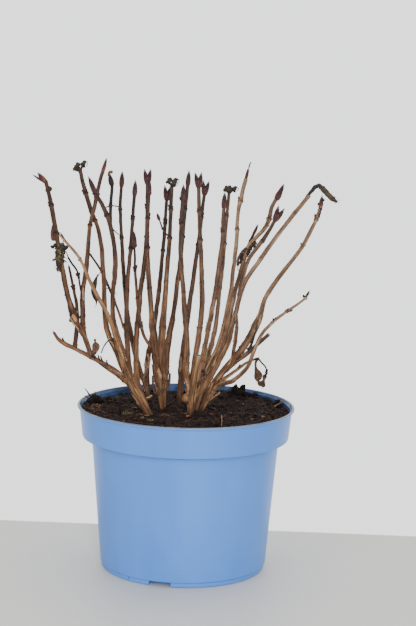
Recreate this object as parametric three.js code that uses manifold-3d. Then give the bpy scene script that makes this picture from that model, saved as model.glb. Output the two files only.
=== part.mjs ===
// A bare, winter-dormant hydrangea in a round nursery pot.
// Millimetres, +Z up. The origin is the centre of the pot's flat underside and -Y is the plant's front.
// Stems rise from the compost in forked stools. Each stem goes on from its stool as a bough,
// and the top of the bough carries a mass of bare twigs, buds and dried remains.

import * as THREE from "three";
import { mergeVertices } from "three/addons/utils/BufferGeometryUtils.js";
import Module from "manifold-3d";

const wasm = await Module();
wasm.setup();

// The gap that is kept between neighbouring pieces.
const GAP = 0.3;

// Pot
const POT_HEIGHT = 176;
const SECTORS = 36;
const RIM_RADIUS = 116;
const RIM_WIDTH = 3;
const RIM_LIP = 2.8;
const NECK_RADIUS = 113.6;
const COLLAR_HEIGHT = 33.5;
const COLLAR_FOOT_RADIUS = 110.4;
const COLLAR_STEP = 1;
const BODY_TOP_RADIUS = 100.2;
const FOOT_RADIUS = 89.2;
const FOOT_RING_HEIGHT = 5.6;
const FOOT_RING_IN = 1.4;
const WALL = 2.2;
const FLOOR = 8;
const DRAINS = 3;
const DRAIN_WIDTH = 25;
const DRAIN_HEIGHT = 5.2;
const DRAIN_SLANT = 1;
const DRAIN_DEPTH = 16;
const DRAIN_START = -0.205;
const COLLAR_FOOT = POT_HEIGHT - COLLAR_HEIGHT;
const BODY_TOP = COLLAR_FOOT - COLLAR_STEP;
const NECK = POT_HEIGHT - RIM_LIP - 0.6;
const SHELF = 1.4;

// Compost
const SOIL_TOP = 166;
const SOIL_RINGS = 4;
const SOIL_RIPPLE = 1.4;
const SOIL_BANK = 2.6;
const SOIL_DRIFTS = [
  { at: [-106, -12], rise: 3.6, reach: 34 },
  { at: [60, 90], rise: 5.2, reach: 30 },
];
const SOIL_CLEAR = GAP * 1.6;
const STEM_SUNK = 12;
const SHORTEST_STOOL = 24;
const SOCKET_SIDES = 8;
const SOCKET_MARGIN = 0.8;
const SOCKET_DEPTH = 2;
const SOCKET_RISE = 19;

// Limbs
const LIMB_SIDES = 6;
const LIMB_STEP = 24;
const TOP_SIDES = 5;
const TWIG_SIDES = 4;
const SIDE_BUD_SIDES = 3;
const BUD_SIDES = 5;
const SAMPLE_STEP = 2;
const STAND_CLEAR = 0.8;
const CUT_MARGIN = 0.9;

// Nodes: the swollen rings on a stem's top, where its buds sit in pairs.
const NODE_SPACING = 31;
const NODE_BELOW_TIP = 25;
const NODE_ABOVE_FOOT = 9;
const NODE_SWELL = 1.45;
const NODE_RISE = 2.6;
const NODE_FALL = 1.6;
const NODE_CLEAR = 6.4;
const TOP_STEP = 16;

// Buds and twigs
const BUD_LENGTH = 17;
const BUD_RADIUS = 2.4;
const BUD_SUNK = 1;
const BUD_LIFT = 0.06;
const SIDE_BUD_LENGTH = 5.5;
const SIDE_BUD_RADIUS = 1.25;
const PAIR_RISE = 1.36;
const PAIRED_NODES = 1;
const TWIG_CHANCE = 0.3;
const TWIG_LENGTH = [14, 30];
const TWIG_RADIUS = [1.0, 0.7];
const TWIG_BUD_LENGTH = 8;
const TWIG_BUD_RADIUS = 1.5;
const TWIG_TURN = 0.8;
const TURN_SPREAD = 0.6;
const CLUMP_LENGTH = 27;
const CLUMP_RADIUS = 5;
const CLUMP_KNOB = [8, 2.4];
const CLUMP_SCRAPS = 4;
const CLUMP_SPACING = 3.5;
const BLADE_FLATNESS = 0.3;

// A dried bud that caps a stem, and the withered end that hangs from the arching one.
const CAP_BELOW_TIP = 13;
const WITHERED_SHAPE = [[24, 1.5], [18, 2.4], [8, 2.3], [0, 1.2]];

// Each stem: the stool or bough it grows from, its radius at the foot and at the tip, the part of its
// length where its twigs begin (1 for a stem with none, 0 for one that is all twigs), what ends it, and
// its bends from the foot up. A stem of a stool starts at the stool's foot, and its first bend follows.
// A stem that was pruned is short and stays one piece with its stool. A prong is a second shoot that
// forks off within the twigs, and a clump of dried remains clings so far above where the twigs begin.
const FEET = {
  left: [-30.5, -18, SOIL_TOP - STEM_SUNK],
  rear_left: [-43, 50, SOIL_TOP - STEM_SUNK],
  centre_left: [-25, 19, SOIL_TOP - STEM_SUNK],
  centre: [4, -6, SOIL_TOP - STEM_SUNK],
  rear: [-10, 45, SOIL_TOP - STEM_SUNK],
  right: [7, 8, SOIL_TOP - STEM_SUNK],
  far_right: [9, 20, SOIL_TOP - STEM_SUNK],
};

const STEMS = [
  {
    name: "left_low", stool: "left", radii: [3.6, 1.3], crown: 1, end: "thin",
    bends: [[-46, -17, 185], [-58, -16, 200], [-80, -14, 214], [-105, -13, 228], [-136, -11, 243],
      [-142, -10, 251]],
  },
  {
    name: "left_tall", stool: "left", radii: [3, 1.5], crown: 0.72, end: "flower",
    bends: [[-58, -16, 198], [-73, -8, 228], [-87, 2, 256], [-92, 12, 300], [-97, 19, 347],
      [-117, 26, 405], [-121, 28, 421]],
  },
  {
    name: "left_tan", stool: "left", radii: [2.8, 1], crown: 1, end: "thin",
    bends: [[-57, -21, 199], [-71, -25, 239], [-79, -27, 266], [-101, -31, 309], [-112, -33, 333],
      [-122, -34, 346], [-133, -35, 358]],
  },
  {
    name: "left_forked", stool: "left", radii: [2.8, 1.5], crown: 0.76, end: "tall",
    bends: [[-56, -12, 197], [-70, -12, 240], [-79, -10, 269], [-78, -8, 335], [-84, -10, 370],
      [-91, -12, 387], [-99, -14, 400]],
    prong: {
      radii: [1.7, 1.4], end: "curl",
      bends: [[-83, -10, 366], [-84, -4, 387], [-83.8, 4, 403], [-83.9, 6, 408]],
    },
  },
  {
    name: "left_inner", stool: "left", radii: [2.9, 1.4], crown: 0.74, end: "bud",
    bends: [[-56, -8, 197], [-65, 4, 238], [-67, 14, 285], [-64, 22, 350], [-62, 26, 396]],
  },
  {
    name: "left_rear", stool: "left", radii: [3.2, 1.5], crown: 0.75, end: "pair",
    bends: [[-52, -2, 196], [-56, 10, 237], [-53, 22, 295], [-48, 31, 359], [-49, 34, 408]],
  },
  {
    name: "rear_left", stool: "rear_left", radii: [2.6, 1.3], crown: 0.72, end: "bud",
    bends: [[-48, 53, 182], [-58, 58, 207], [-70, 60, 256], [-76, 52, 323], [-79, 46, 383],
      [-78, 44, 404]],
  },
  {
    name: "rear_back", stool: "rear_left", radii: [2.8, 1.4], crown: 0.72, end: "pair",
    bends: [[-47, 58, 184], [-48, 65, 206], [-42, 80, 256], [-36, 92, 330], [-33, 96, 386]],
  },
  {
    name: "mid_front", stool: "centre_left", radii: [3.3, 1.6], crown: 0.74, end: "bud",
    bends: [[-30, 16, 189], [-36, 9, 237], [-40, -6, 288], [-43, -20, 354], [-42, -25, 402]],
  },
  {
    name: "mid_left", stool: "centre_left", radii: [3.4, 1.6], crown: 0.73, end: "flower",
    bends: [[-29, 24, 190], [-31, 38, 233], [-29, 50, 281], [-26, 60, 350], [-25, 64, 404]],
  },
  {
    name: "mid_rear", stool: "centre_left", radii: [3, 1.5], crown: 0.74, end: "bud",
    bends: [[-26, 30, 188], [-25, 54, 230], [-19, 68, 279], [-13, 76, 350], [-9, 80, 404]],
  },
  {
    name: "rear", stool: "rear", radii: [3.2, 1.5], crown: 0.7, end: "pair",
    bends: [[-10, 49, 195], [-8, 62, 232], [-4, 84, 276], [3, 100, 340], [8, 107, 392]],
  },
  {
    name: "front_left", stool: "centre", radii: [3.2, 1.5], crown: 0.74, end: "bud",
    bends: [[3, -6, 190], [0, -6, 214], [0, -7, 241], [-4, -17, 291], [-8, -26, 350], [-6, -33, 398]],
  },
  {
    name: "middle", stool: "centre", radii: [3.3, 1.6], crown: 0.74, end: "pair",
    bends: [[5, 0, 191], [7, 9, 214], [10, 18, 238], [13, 27, 286], [9, 32, 350], [6, 34, 406]],
  },
  {
    name: "pruned", stool: "centre", radii: [3, 2.6], crown: 1, end: "cut",
    bends: [[7, -9, 194], [13, -13, 231]],
  },
  {
    name: "front_right", stool: "centre", radii: [2.8, 1.4], crown: 0.74, end: "bud",
    bends: [[9, -4, 192], [15, -8, 218], [20, -13, 246], [28, -26, 294], [35, -38, 350],
      [37, -43, 392]],
  },
  {
    name: "right_back", stool: "right", radii: [2.8, 1.4], crown: 0.72, end: "slim",
    bends: [[13, 25, 192], [22, 31, 213], [32, 39, 235], [41, 52, 283], [46, 62, 336], [48, 68, 381],
      [52, 70, 401], [55, 71, 414]],
  },
  {
    name: "right_inner", stool: "right", radii: [2.8, 1.4], crown: 0.73, end: "flower",
    bends: [[10, 28, 190], [17, 36, 210], [24, 48, 236], [29, 66, 281], [33, 84, 345], [36, 94, 396]],
  },
  {
    name: "right_bundle", stool: "right", radii: [2.7, 1.5], crown: 0.68, end: "bud",
    bends: [[15, 21, 190], [26, 29, 215], [36, 34, 239], [46, 39, 285], [61, 43, 342], [80, 50, 366],
      [85, 54, 386], [90, 56, 396]],
    prong: {
      radii: [1.5, 1.4], end: "slim",
      bends: [[59.5, 43, 342], [62.5, 47, 349], [65.5, 50, 355.5]],
    },
  },
  {
    name: "right_arch", stool: "right", radii: [2.7, 1.6], crown: 0.8, end: "withered",
    bends: [[16, 17, 188], [29, 19, 214], [40, 20, 238], [49, 18, 272], [59, 16, 307], [96, 25, 363],
      [124, 33, 401], [133, 36, 411], [141, 37, 404], [154, 39, 395]],
  },
  {
    name: "right_front", stool: "far_right", radii: [2.4, 1.5], crown: 0.78, end: "pair",
    bends: [[31, 19, 199], [46, 18, 220], [49, 13, 236], [52, 6, 260], [51, 0, 277], [54, -4, 300],
      [64, -7, 337], [81, -9, 361], [89, -9, 377]],
  },
  {
    name: "right_tall", stool: "far_right", radii: [3.2, 1.7], crown: 0.84, end: "capped",
    bends: [[31, 20, 200], [48, 20, 222], [61, 15, 241], [75, 10, 269], [81, 5, 293], [93, 0, 313],
      [117, -8, 348], [133, -15, 382], [139, -19, 404]],
  },
  {
    name: "right_low", stool: "far_right", radii: [2.9, 1.3], crown: 0.8, end: "hook",
    bends: [[33, 12, 194], [49, 8, 202], [63, 0, 217], [71, -8, 236], [79, -15, 256], [90, -20, 271],
      [124, -34, 300]],
  },
  {
    name: "right_pruned", stool: "far_right", radii: [2.4, 2.1], crown: 1, end: "cut",
    bends: [[31, 22, 198], [46, 23, 216], [61, 22, 228], [75, 20, 241], [86, 18, 252]],
  },
  {
    name: "right_withered", stool: "far_right", radii: [1.6, 0.9], crown: 0, end: "leaves",
    bends: [[31, 22, 193], [45, 26, 205], [62, 25, 219], [76, 23, 225]],
  },
];

// Stems that fork from the low left stem, and thin side stems, each growing from a bough.
const FORK = {
  name: "left_fork",
  parent: "left_low",
  foot: [-101, -13, 226],
  leaf: [[-100, -15, 229], [-96, -17, 232.5], [-95, -17, 238], [-97, -16, 243]],
  leafWidth: 7,
};
const FORK_STEMS = [
  {
    name: "fork_outer", stool: "left_fork", radii: [2.6, 1.7], crown: 0.42, end: "twin", clump: 32,
    bends: [[-109, -13, 248], [-120, -15, 269], [-129, -18, 303], [-133, -20, 325], [-140, -22, 366],
      [-147, -24, 402], [-150, -24, 413]],
  },
  {
    name: "fork_inner", stool: "left_fork", radii: [2.4, 1.6], crown: 0.62, end: "bud",
    bends: [[-109, -12, 249], [-112, -5, 276], [-113, -1, 290], [-108, 2, 335], [-106, 5, 367],
      [-102, 6, 385], [-97, 8, 413], [-95, 9, 420]],
  },
];
const SIDE_STEMS = [
  {
    name: "low_side", parent: "left_low", radii: [2.1, 0.9], end: "thin",
    bends: [[-119, -12, 236], [-118, -6, 257], [-119, -3, 275], [-120, -3, 287], [-123, -5, 301],
      [-127, -8, 322]],
  },
  {
    name: "fork_side", parent: "fork_inner", radii: [1.1, 0.8], end: "thin",
    bends: [[-113, -2, 288], [-115.5, -3, 301], [-118.4, -6, 317], [-123.3, -10, 325],
      [-127.1, -13, 332]],
  },
  {
    name: "crossing", parent: "left_inner", radii: [1.3, 0.9], end: "thin",
    bends: [[-66, 6, 248], [-77, 15, 274], [-95, 24, 312], [-109, 25, 332]],
  },
  {
    name: "mid_side", parent: "mid_front", radii: [1.7, 1], end: "bud",
    bends: [[-36, 10, 232], [-46, 6, 245], [-53, 1, 276], [-57, -4, 320], [-58, -6, 345]],
  },
];

// The pot's and the plant's materials.
const MATERIALS = {
  pot: { color: 0x84a3d0, roughness: 0.42, metalness: 0 },
  compost: { color: 0x2a1c16, roughness: 0.95, metalness: 0 },
  stool: { color: 0x8f6a48, roughness: 0.85, metalness: 0 },
  bough: { color: 0x84603f, roughness: 0.8, metalness: 0 },
  twigs: { color: 0x5f3a2c, roughness: 0.7, metalness: 0 },
};

// The runs of seeded numbers: one for each stem and one for each side stem.
const STEM_SEED = 100;
const SIDE_STEM_SEED = 500;
const SEED_STEP = 7;

const model = new THREE.Group();

// A repeatable run of numbers from 0 to 1.
function seeded(seed) {
  let state = seed;
  return () => {
    state = (state * 1664525 + 1013904223) % 4294967296;
    return state / 4294967296;
  };
}

function mix(a, b, t) {
  return a + (b - a) * t;
}

function solidFrom(geometry) {
  const bare = geometry.clone();
  bare.deleteAttribute("normal");
  bare.deleteAttribute("uv");
  const merged = mergeVertices(bare, 1e-4);
  const corners = [];
  const index = merged.index.array;
  for (let i = 0; i < index.length; i += 3) {
    const [a, b, c] = [index[i], index[i + 1], index[i + 2]];
    if (a !== b && b !== c && c !== a) corners.push(a, b, c);
  }
  const vertProperties = merged.attributes.position.array;
  const make = () => {
    const triVerts = new Uint32Array(corners);
    return new wasm.Manifold(new wasm.Mesh({ numProp: 3, vertProperties, triVerts }));
  };
  const solid = make();
  if (solid.volume() > 0) return solid;
  corners.reverse();
  return make();
}

function geometryFrom(solid) {
  const mesh = solid.getMesh();
  const geometry = new THREE.BufferGeometry();
  geometry.setAttribute("position", new THREE.BufferAttribute(new Float32Array(mesh.vertProperties), 3));
  geometry.setIndex([...mesh.triVerts]);
  return geometry;
}

// Loose scraps are dropped: only the largest piece of a solid stays.
function largest(solid) {
  return solid.decompose().reduce((best, piece) => (piece.volume() > best.volume() ? piece : best));
}

function joined(solids) {
  return solids.reduce((sum, solid) => sum.add(solid));
}

function addMesh(name, solid, material) {
  const look = new THREE.MeshStandardMaterial(MATERIALS[material]);
  const mesh = new THREE.Mesh(geometryFrom(largest(solid)), look);
  mesh.name = name;
  model.add(mesh);
}

// A centreline through its bends, with its length and points every few millimetres.
function lineThrough(bends) {
  const points = bends.map((bend) => new THREE.Vector3(...bend));
  const curve = new THREE.CatmullRomCurve3(points, false, "centripetal");
  const length = curve.getLength();
  const line = { curve, length, samples: [] };
  for (let s = 0; s <= length; s += SAMPLE_STEP) line.samples.push(pointOn(line, s));
  return line;
}

// Lengths before the start or past the end run straight on.
function pointOn(line, s) {
  const inside = THREE.MathUtils.clamp(s, 0, line.length);
  const point = line.curve.getPointAt(inside / line.length);
  return point.addScaledVector(tangentOn(line, s), s - inside);
}

function tangentOn(line, s) {
  return line.curve.getTangentAt(THREE.MathUtils.clamp(s / line.length, 0, 1));
}

// A direction square to a tangent, as near as possible to the one given.
function squareTo(tangent, direction) {
  const square = direction.clone().addScaledVector(tangent, -direction.dot(tangent));
  if (square.lengthSq() < 1e-6) return squareTo(tangent, new THREE.Vector3(0.3, 1, 0.2));
  return square.normalize();
}

// A limb is a turned form, with a radius at each station, that is bent along its centreline.
// A flatness under 1 presses its section flat, as on a leaf.
function limb(line, stations, sides, flatness = 1) {
  const profile = stations.map(([, radius], row) => new THREE.Vector2(radius, row));
  profile.unshift(new THREE.Vector2(0, 0));
  profile.push(new THREE.Vector2(0, stations.length - 1));
  const geometry = new THREE.LatheGeometry(profile, sides);
  let across = new THREE.Vector3(1, 0, 0);
  const frames = stations.map(([s]) => {
    const tangent = tangentOn(line, s);
    across = squareTo(tangent, across);
    return { centre: pointOn(line, s), across, beside: tangent.clone().cross(across) };
  });
  const position = geometry.attributes.position;
  for (let i = 0; i < position.count; i += 1) {
    const frame = frames[Math.round(position.getY(i))];
    const place = frame.centre.clone();
    place.addScaledVector(frame.across, position.getX(i));
    place.addScaledVector(frame.beside, position.getZ(i) * flatness);
    position.setXYZ(i, place.x, place.y, place.z);
  }
  return solidFrom(geometry);
}

function radiusOn(stem, s) {
  return mix(stem.radii[0], stem.radii[1], THREE.MathUtils.clamp(s / stem.line.length, 0, 1));
}

// The stations of a plain stretch of a stem, fatter by a margin when it is used to cut its neighbours.
function stretch(stem, from, to, margin = 0) {
  const steps = Math.max(1, Math.round((to - from) / LIMB_STEP));
  const stations = [];
  for (let i = 0; i <= steps; i += 1) {
    const s = mix(from - margin, to + margin, i / steps);
    stations.push([s, radiusOn(stem, s) + margin]);
  }
  return stations;
}

function stretchSolid(stem, from, to, margin = 0) {
  return limb(stem.line, stretch(stem, from, to, margin), LIMB_SIDES);
}

// The room left between a ball and another limb's skin.
function roomTo(point, radius, other) {
  let room = Infinity;
  other.line.samples.forEach((sample, i) => {
    const reach = radius + radiusOn(other, i * SAMPLE_STEP);
    room = Math.min(room, sample.distanceTo(point) - reach);
  });
  return room;
}

// The length past which a stem stands clear of the stems that share its foot.
function clearLength(stem, mates) {
  if (stem.end === "cut") return stem.line.length;
  for (let i = stem.line.samples.length - 1; i >= 0; i -= 1) {
    const s = i * SAMPLE_STEP;
    const room = mates.map((mate) => roomTo(stem.line.samples[i], radiusOn(stem, s), mate));
    if (Math.min(...room) < STAND_CLEAR) return s + SAMPLE_STEP;
  }
  return SHORTEST_STOOL;
}

// Every stem with its centreline from its foot to its tip, and the length at which it starts as a limb
// of its own.
function grown(stem, foot) {
  return { ...stem, start: 0, line: lineThrough([...foot, ...stem.bends]) };
}

const stems = [
  ...STEMS.map((stem) => grown(stem, [FEET[stem.stool]])),
  ...FORK_STEMS.map((stem) => grown(stem, [FORK.foot])),
];
const sideStems = SIDE_STEMS.map((stem) => grown(stem, []));
stems.filter((stem) => stem.prong).forEach((stem) => {
  stem.prong = grown(stem.prong, []);
});

function stemNamed(name) {
  return stems.find((stem) => stem.name === name);
}

// Everything that a new twig must stay clear of.
const placed = [...stems, ...sideStems, ...stems.filter((stem) => stem.prong).map((stem) => stem.prong)];

function staysClear(twig, own) {
  return placed.every((other) => other === own || twig.line.samples.every((point, i) => (
    roomTo(point, radiusOn(twig, i * SAMPLE_STEP), other) > GAP * 2
  )));
}

const LARGE_BUD = [[0, 0.55], [0.3, 1], [0.65, 0.72], [1, 0.12]];
const SMALL_BUD = [[0, 0.7], [0.4, 1], [1, 0.15]];

// A pointed bud, fattest near its foot, that leans along a direction and bends a little upwards.
function bud(foot, direction, length, radius, sides = BUD_SIDES, shape = LARGE_BUD) {
  const up = new THREE.Vector3(0, 0, length * BUD_LIFT);
  const along = direction.clone().normalize().multiplyScalar(length);
  const middle = foot.clone().addScaledVector(along, 0.5);
  const tip = foot.clone().add(along).add(up);
  const line = lineThrough([foot.toArray(), middle.toArray(), tip.toArray()]);
  return limb(line, shape.map(([t, wide]) => [t * line.length, wide * radius]), sides);
}

// A direction that leaves a stem sideways: square to it, turned about it, then tipped towards its tip.
function outFrom(stem, s, turn, rise) {
  const tangent = tangentOn(stem.line, s);
  const across = squareTo(tangent, new THREE.Vector3(1, 0, 0));
  const side = across.applyAxisAngle(tangent, turn);
  return side.multiplyScalar(Math.cos(rise)).addScaledVector(tangent, Math.sin(rise));
}

// The nodes of a stem's top, every so far down from its tip.
function nodeLengths(from, to) {
  const lengths = [];
  for (let s = to - NODE_BELOW_TIP; s > from + NODE_ABOVE_FOOT; s -= NODE_SPACING) lengths.push(s);
  return lengths;
}

// The stations of a stem's top, which swells at each node.
function nodedStations(stem, from, to, nodes) {
  const swellings = nodes.flatMap((s) => [
    [s - NODE_RISE, radiusOn(stem, s)],
    [s, radiusOn(stem, s) * NODE_SWELL],
    [s + NODE_FALL, radiusOn(stem, s)],
  ]);
  const ends = [[from, radiusOn(stem, from)], [to, radiusOn(stem, to)]];
  const between = [];
  for (let s = from + LIMB_STEP; s < to - LIMB_STEP / 2; s += TOP_STEP) {
    if (nodes.every((node) => Math.abs(node - s) > NODE_CLEAR)) between.push([s, radiusOn(stem, s)]);
  }
  return [...ends, ...swellings, ...between].sort((a, b) => a[0] - b[0]);
}

// A side twig that leaves a node, curves upwards and ends in a small bud, if it stays clear.
function sideTwig(stem, s, turn, length) {
  const foot = pointOn(stem.line, s);
  const out = outFrom(stem, s, turn, 0.75);
  const middle = foot.clone().addScaledVector(out, length * 0.5);
  const lift = new THREE.Vector3(0, 0, length * 0.3);
  const tip = middle.clone().addScaledVector(out, length * 0.35).add(lift);
  const line = lineThrough([foot, middle, tip].map((point) => point.toArray()));
  for (let past = SAMPLE_STEP; past <= TWIG_BUD_LENGTH; past += SAMPLE_STEP) {
    line.samples.push(pointOn(line, line.length + past));
  }
  const twig = { radii: TWIG_RADIUS, line };
  if (!staysClear(twig, stem)) return [];
  placed.push(twig);
  const end = pointOn(line, line.length - BUD_SUNK);
  const along = tangentOn(line, line.length);
  return [
    limb(line, stretch(twig, 0, line.length), TWIG_SIDES),
    bud(end, along, TWIG_BUD_LENGTH, TWIG_BUD_RADIUS, TWIG_SIDES, SMALL_BUD),
  ];
}

// Two small buds on opposite sides of a node.
function budPair(stem, s, turn) {
  const foot = pointOn(stem.line, s);
  return [0, Math.PI].map((half) => {
    const direction = outFrom(stem, s, turn + half, 0.85);
    const start = foot.clone().addScaledVector(direction, radiusOn(stem, s) * 0.6);
    return bud(start, direction, SIDE_BUD_LENGTH, SIDE_BUD_RADIUS, SIDE_BUD_SIDES, SMALL_BUD);
  });
}

// A dried leaf or flower scrap: a flattened blade along a short bent line.
function scrap(points, width, sides = 6) {
  const line = lineThrough(points.map((point) => point.toArray()));
  const shape = [[0, 0.25], [0.3, 0.9], [0.7, 1], [1, 0.15]];
  const stations = shape.map(([t, wide]) => [t * line.length, (wide * width) / 2]);
  return limb(line, stations, sides, BLADE_FLATNESS);
}

// What a stem ends in. Each maker gets the stem and a run of seeded numbers, and gives solids to fuse on.
const ENDS = {
  thin: () => [],
  cut: () => [],
  bud: (stem) => {
    const s = stem.line.length;
    return [
      bud(pointOn(stem.line, s - BUD_SUNK), tangentOn(stem.line, s), BUD_LENGTH, BUD_RADIUS),
      ...budPair(stem, s - 1.5, 0.4),
    ];
  },
  pair: (stem) => {
    const s = stem.line.length;
    const foot = pointOn(stem.line, s - BUD_SUNK);
    return [0, Math.PI].map((half) => (
      bud(foot, outFrom(stem, s, half, PAIR_RISE), BUD_LENGTH, BUD_RADIUS)
    ));
  },
  twin: (stem) => {
    const s = stem.line.length;
    const foot = pointOn(stem.line, s - 2 * BUD_SUNK);
    return [
      bud(foot, new THREE.Vector3(-0.68, 0.05, 0.7), BUD_LENGTH * 0.8, BUD_RADIUS),
      bud(foot, new THREE.Vector3(-0.86, -0.2, 0.45), BUD_LENGTH * 0.95, BUD_RADIUS * 0.5),
    ];
  },
  slim: (stem) => {
    const s = stem.line.length;
    const foot = pointOn(stem.line, s - BUD_SUNK);
    return [bud(foot, tangentOn(stem.line, s), BUD_LENGTH * 0.8, BUD_RADIUS * 0.6)];
  },
  tall: (stem) => {
    const s = stem.line.length;
    const foot = pointOn(stem.line, s - BUD_SUNK);
    return [
      bud(foot, new THREE.Vector3(-0.42, 0, 0.91), BUD_LENGTH * 1.2, BUD_RADIUS),
      ...budPair(stem, s - 1.5, 0.4),
    ];
  },
  hook: (stem) => {
    const s = stem.line.length;
    const foot = pointOn(stem.line, s - BUD_SUNK);
    return [
      bud(foot, new THREE.Vector3(0.44, -0.1, 0.9), BUD_LENGTH * 0.55, BUD_RADIUS * 0.4),
      ...budPair(stem, s - 2, 1.2),
    ];
  },
  curl: (stem) => {
    const s = stem.line.length;
    const foot = pointOn(stem.line, s - BUD_SUNK);
    return [
      bud(foot, new THREE.Vector3(-0.25, 0, 1), BUD_LENGTH * 0.75, BUD_RADIUS * 0.8),
      ...budPair(stem, s - 2, 1.2),
    ];
  },
  capped: (stem) => {
    const s = stem.line.length;
    const foot = pointOn(stem.line, s - CAP_BELOW_TIP);
    return [bud(foot, tangentOn(stem.line, s), BUD_LENGTH * 0.8, BUD_RADIUS * 0.9)];
  },
  withered: (stem) => {
    const stations = WITHERED_SHAPE.map(([below, radius]) => [stem.line.length - below, radius]);
    return [limb(stem.line, stations, TOP_SIDES)];
  },
  flower: (stem, random) => {
    const s = stem.line.length;
    const foot = pointOn(stem.line, s - BUD_SUNK);
    return [0, 1, 2].flatMap((stalk) => {
      const direction = outFrom(stem, s, stalk * 2.1 + random(), 0.55 + random() * 0.6);
      const tip = foot.clone().addScaledVector(direction, 6 + random() * 4);
      const line = lineThrough([foot.toArray(), tip.toArray()]);
      const headFoot = tip.clone().addScaledVector(direction, -2.5);
      return [
        limb(line, [[0, 0.9], [line.length, 0.7]], SIDE_BUD_SIDES),
        bud(headFoot, direction, 7, 2.6, TWIG_SIDES),
      ];
    });
  },
  leaves: (stem) => {
    const foot = pointOn(stem.line, stem.line.length - BUD_SUNK);
    const at = (x, y, z) => foot.clone().add(new THREE.Vector3(x, y, z));
    const near = [
      at(0, 0, 0), at(-2.5, -1, -5), at(-2, -1, -11), at(0.5, -1.5, -18), at(-0.3, -2, -25.5),
    ];
    const arc = [at(0, 0, 0), at(3.5, 0, -4.5), at(8.5, 0, -10), at(9.6, 0, -17), at(8, 0, -19.5)];
    const arcLine = lineThrough(arc.map((point) => point.toArray()));
    const far = [at(8, 0, -18.5), at(6.3, -1, -25), at(3.2, -1, -30.5)];
    return [
      scrap(near, 9),
      limb(arcLine, [[0, 0.8], [arcLine.length / 2, 0.7], [arcLine.length, 0.7]], TWIG_SIDES),
      scrap(far, 8),
    ];
  },
};

// The tangle of dried flower stalks and leaf scraps that clings round the outer fork.
function driedClump(stem, s, random) {
  const foot = pointOn(stem.line, s);
  const scraps = [];
  for (let i = 0; i < CLUMP_SCRAPS; i += 1) {
    const start = pointOn(stem.line, s + (i - CLUMP_SCRAPS / 2) * CLUMP_SPACING);
    const direction = outFrom(stem, s, i * 2.4 + random(), -0.5 + random() * 1.4);
    const middle = start.clone().addScaledVector(direction, 4);
    const tip = middle.clone().addScaledVector(direction, 3 + random() * 3);
    tip.z -= 2 + random() * 5;
    scraps.push(scrap([start, middle, tip], 4 + random() * 2, TWIG_SIDES));
  }
  [-1, 1].forEach((side) => {
    scraps.push(bud(foot, new THREE.Vector3(side, 0, 0.6), ...CLUMP_KNOB, TWIG_SIDES, SMALL_BUD));
  });
  foot.z += CLUMP_LENGTH * 0.45;
  scraps.push(bud(foot, new THREE.Vector3(0.1, 0, -1), CLUMP_LENGTH, CLUMP_RADIUS));
  return scraps;
}

// The mass of twigs at a stem's top, grown from one noded axis.
function twigMass(stem, from, seed) {
  const random = seeded(seed);
  const to = stem.line.length;
  const nodes = nodeLengths(from, to);
  const parts = [limb(stem.line, nodedStations(stem, from, to, nodes), TOP_SIDES)];
  nodes.forEach((s, i) => {
    const turn = (i % 2) * (Math.PI / 2) + random() * TURN_SPREAD;
    const wanted = random() < TWIG_CHANCE && i > 0 && !stem.parent;
    const length = mix(...TWIG_LENGTH, random());
    if (i < PAIRED_NODES) parts.push(...budPair(stem, s, turn));
    if (wanted) parts.push(...sideTwig(stem, s, turn + TWIG_TURN, length));
  });
  if (stem.prong) {
    parts.push(limb(stem.prong.line, stretch(stem.prong, 0, stem.prong.line.length), TOP_SIDES));
    parts.push(...ENDS[stem.prong.end](stem.prong, random));
  }
  if (stem.clump) parts.push(...driedClump(stem, from + stem.clump, random));
  parts.push(...ENDS[stem.end](stem, random));
  return joined(parts);
}

// A stool: the stems of one foot, fused up to where they stand clear of each other.
function stool(members) {
  const solids = members.map((stem) => {
    const clear = clearLength(stem, members.filter((mate) => mate !== stem));
    stem.start = clear + GAP;
    return stretchSolid(stem, 0, clear);
  });
  return joined(solids);
}

// The fork on the low left stem, with the dried leaf that is caught in it.
function forkStool(members) {
  const parent = stemNamed(FORK.parent);
  const leaf = scrap(FORK.leaf.map((point) => new THREE.Vector3(...point)), FORK.leafWidth);
  return stool(members).add(leaf).subtract(cutterOf(parent));
}

// A bough's full length, fattened, which cuts off what would stand in it.
function cutterOf(stem) {
  return stretchSolid(stem, 0, stem.line.length, CUT_MARGIN);
}

function addStem(stem, seed) {
  if (stem.end === "cut") return;
  const crown = Math.max(stem.start, stem.line.length * stem.crown);
  if (crown > stem.start) addMesh("bough_" + stem.name, stretchSolid(stem, stem.start, crown), "bough");
  if (stem.crown < 1) addMesh("twigs_" + stem.name, twigMass(stem, crown + GAP, seed), "twigs");
}

function addSideStem(stem, seed) {
  const cutter = cutterOf(stemNamed(stem.parent));
  addMesh("twigs_" + stem.name, twigMass(stem, 0, seed).subtract(cutter), "twigs");
}

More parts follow.
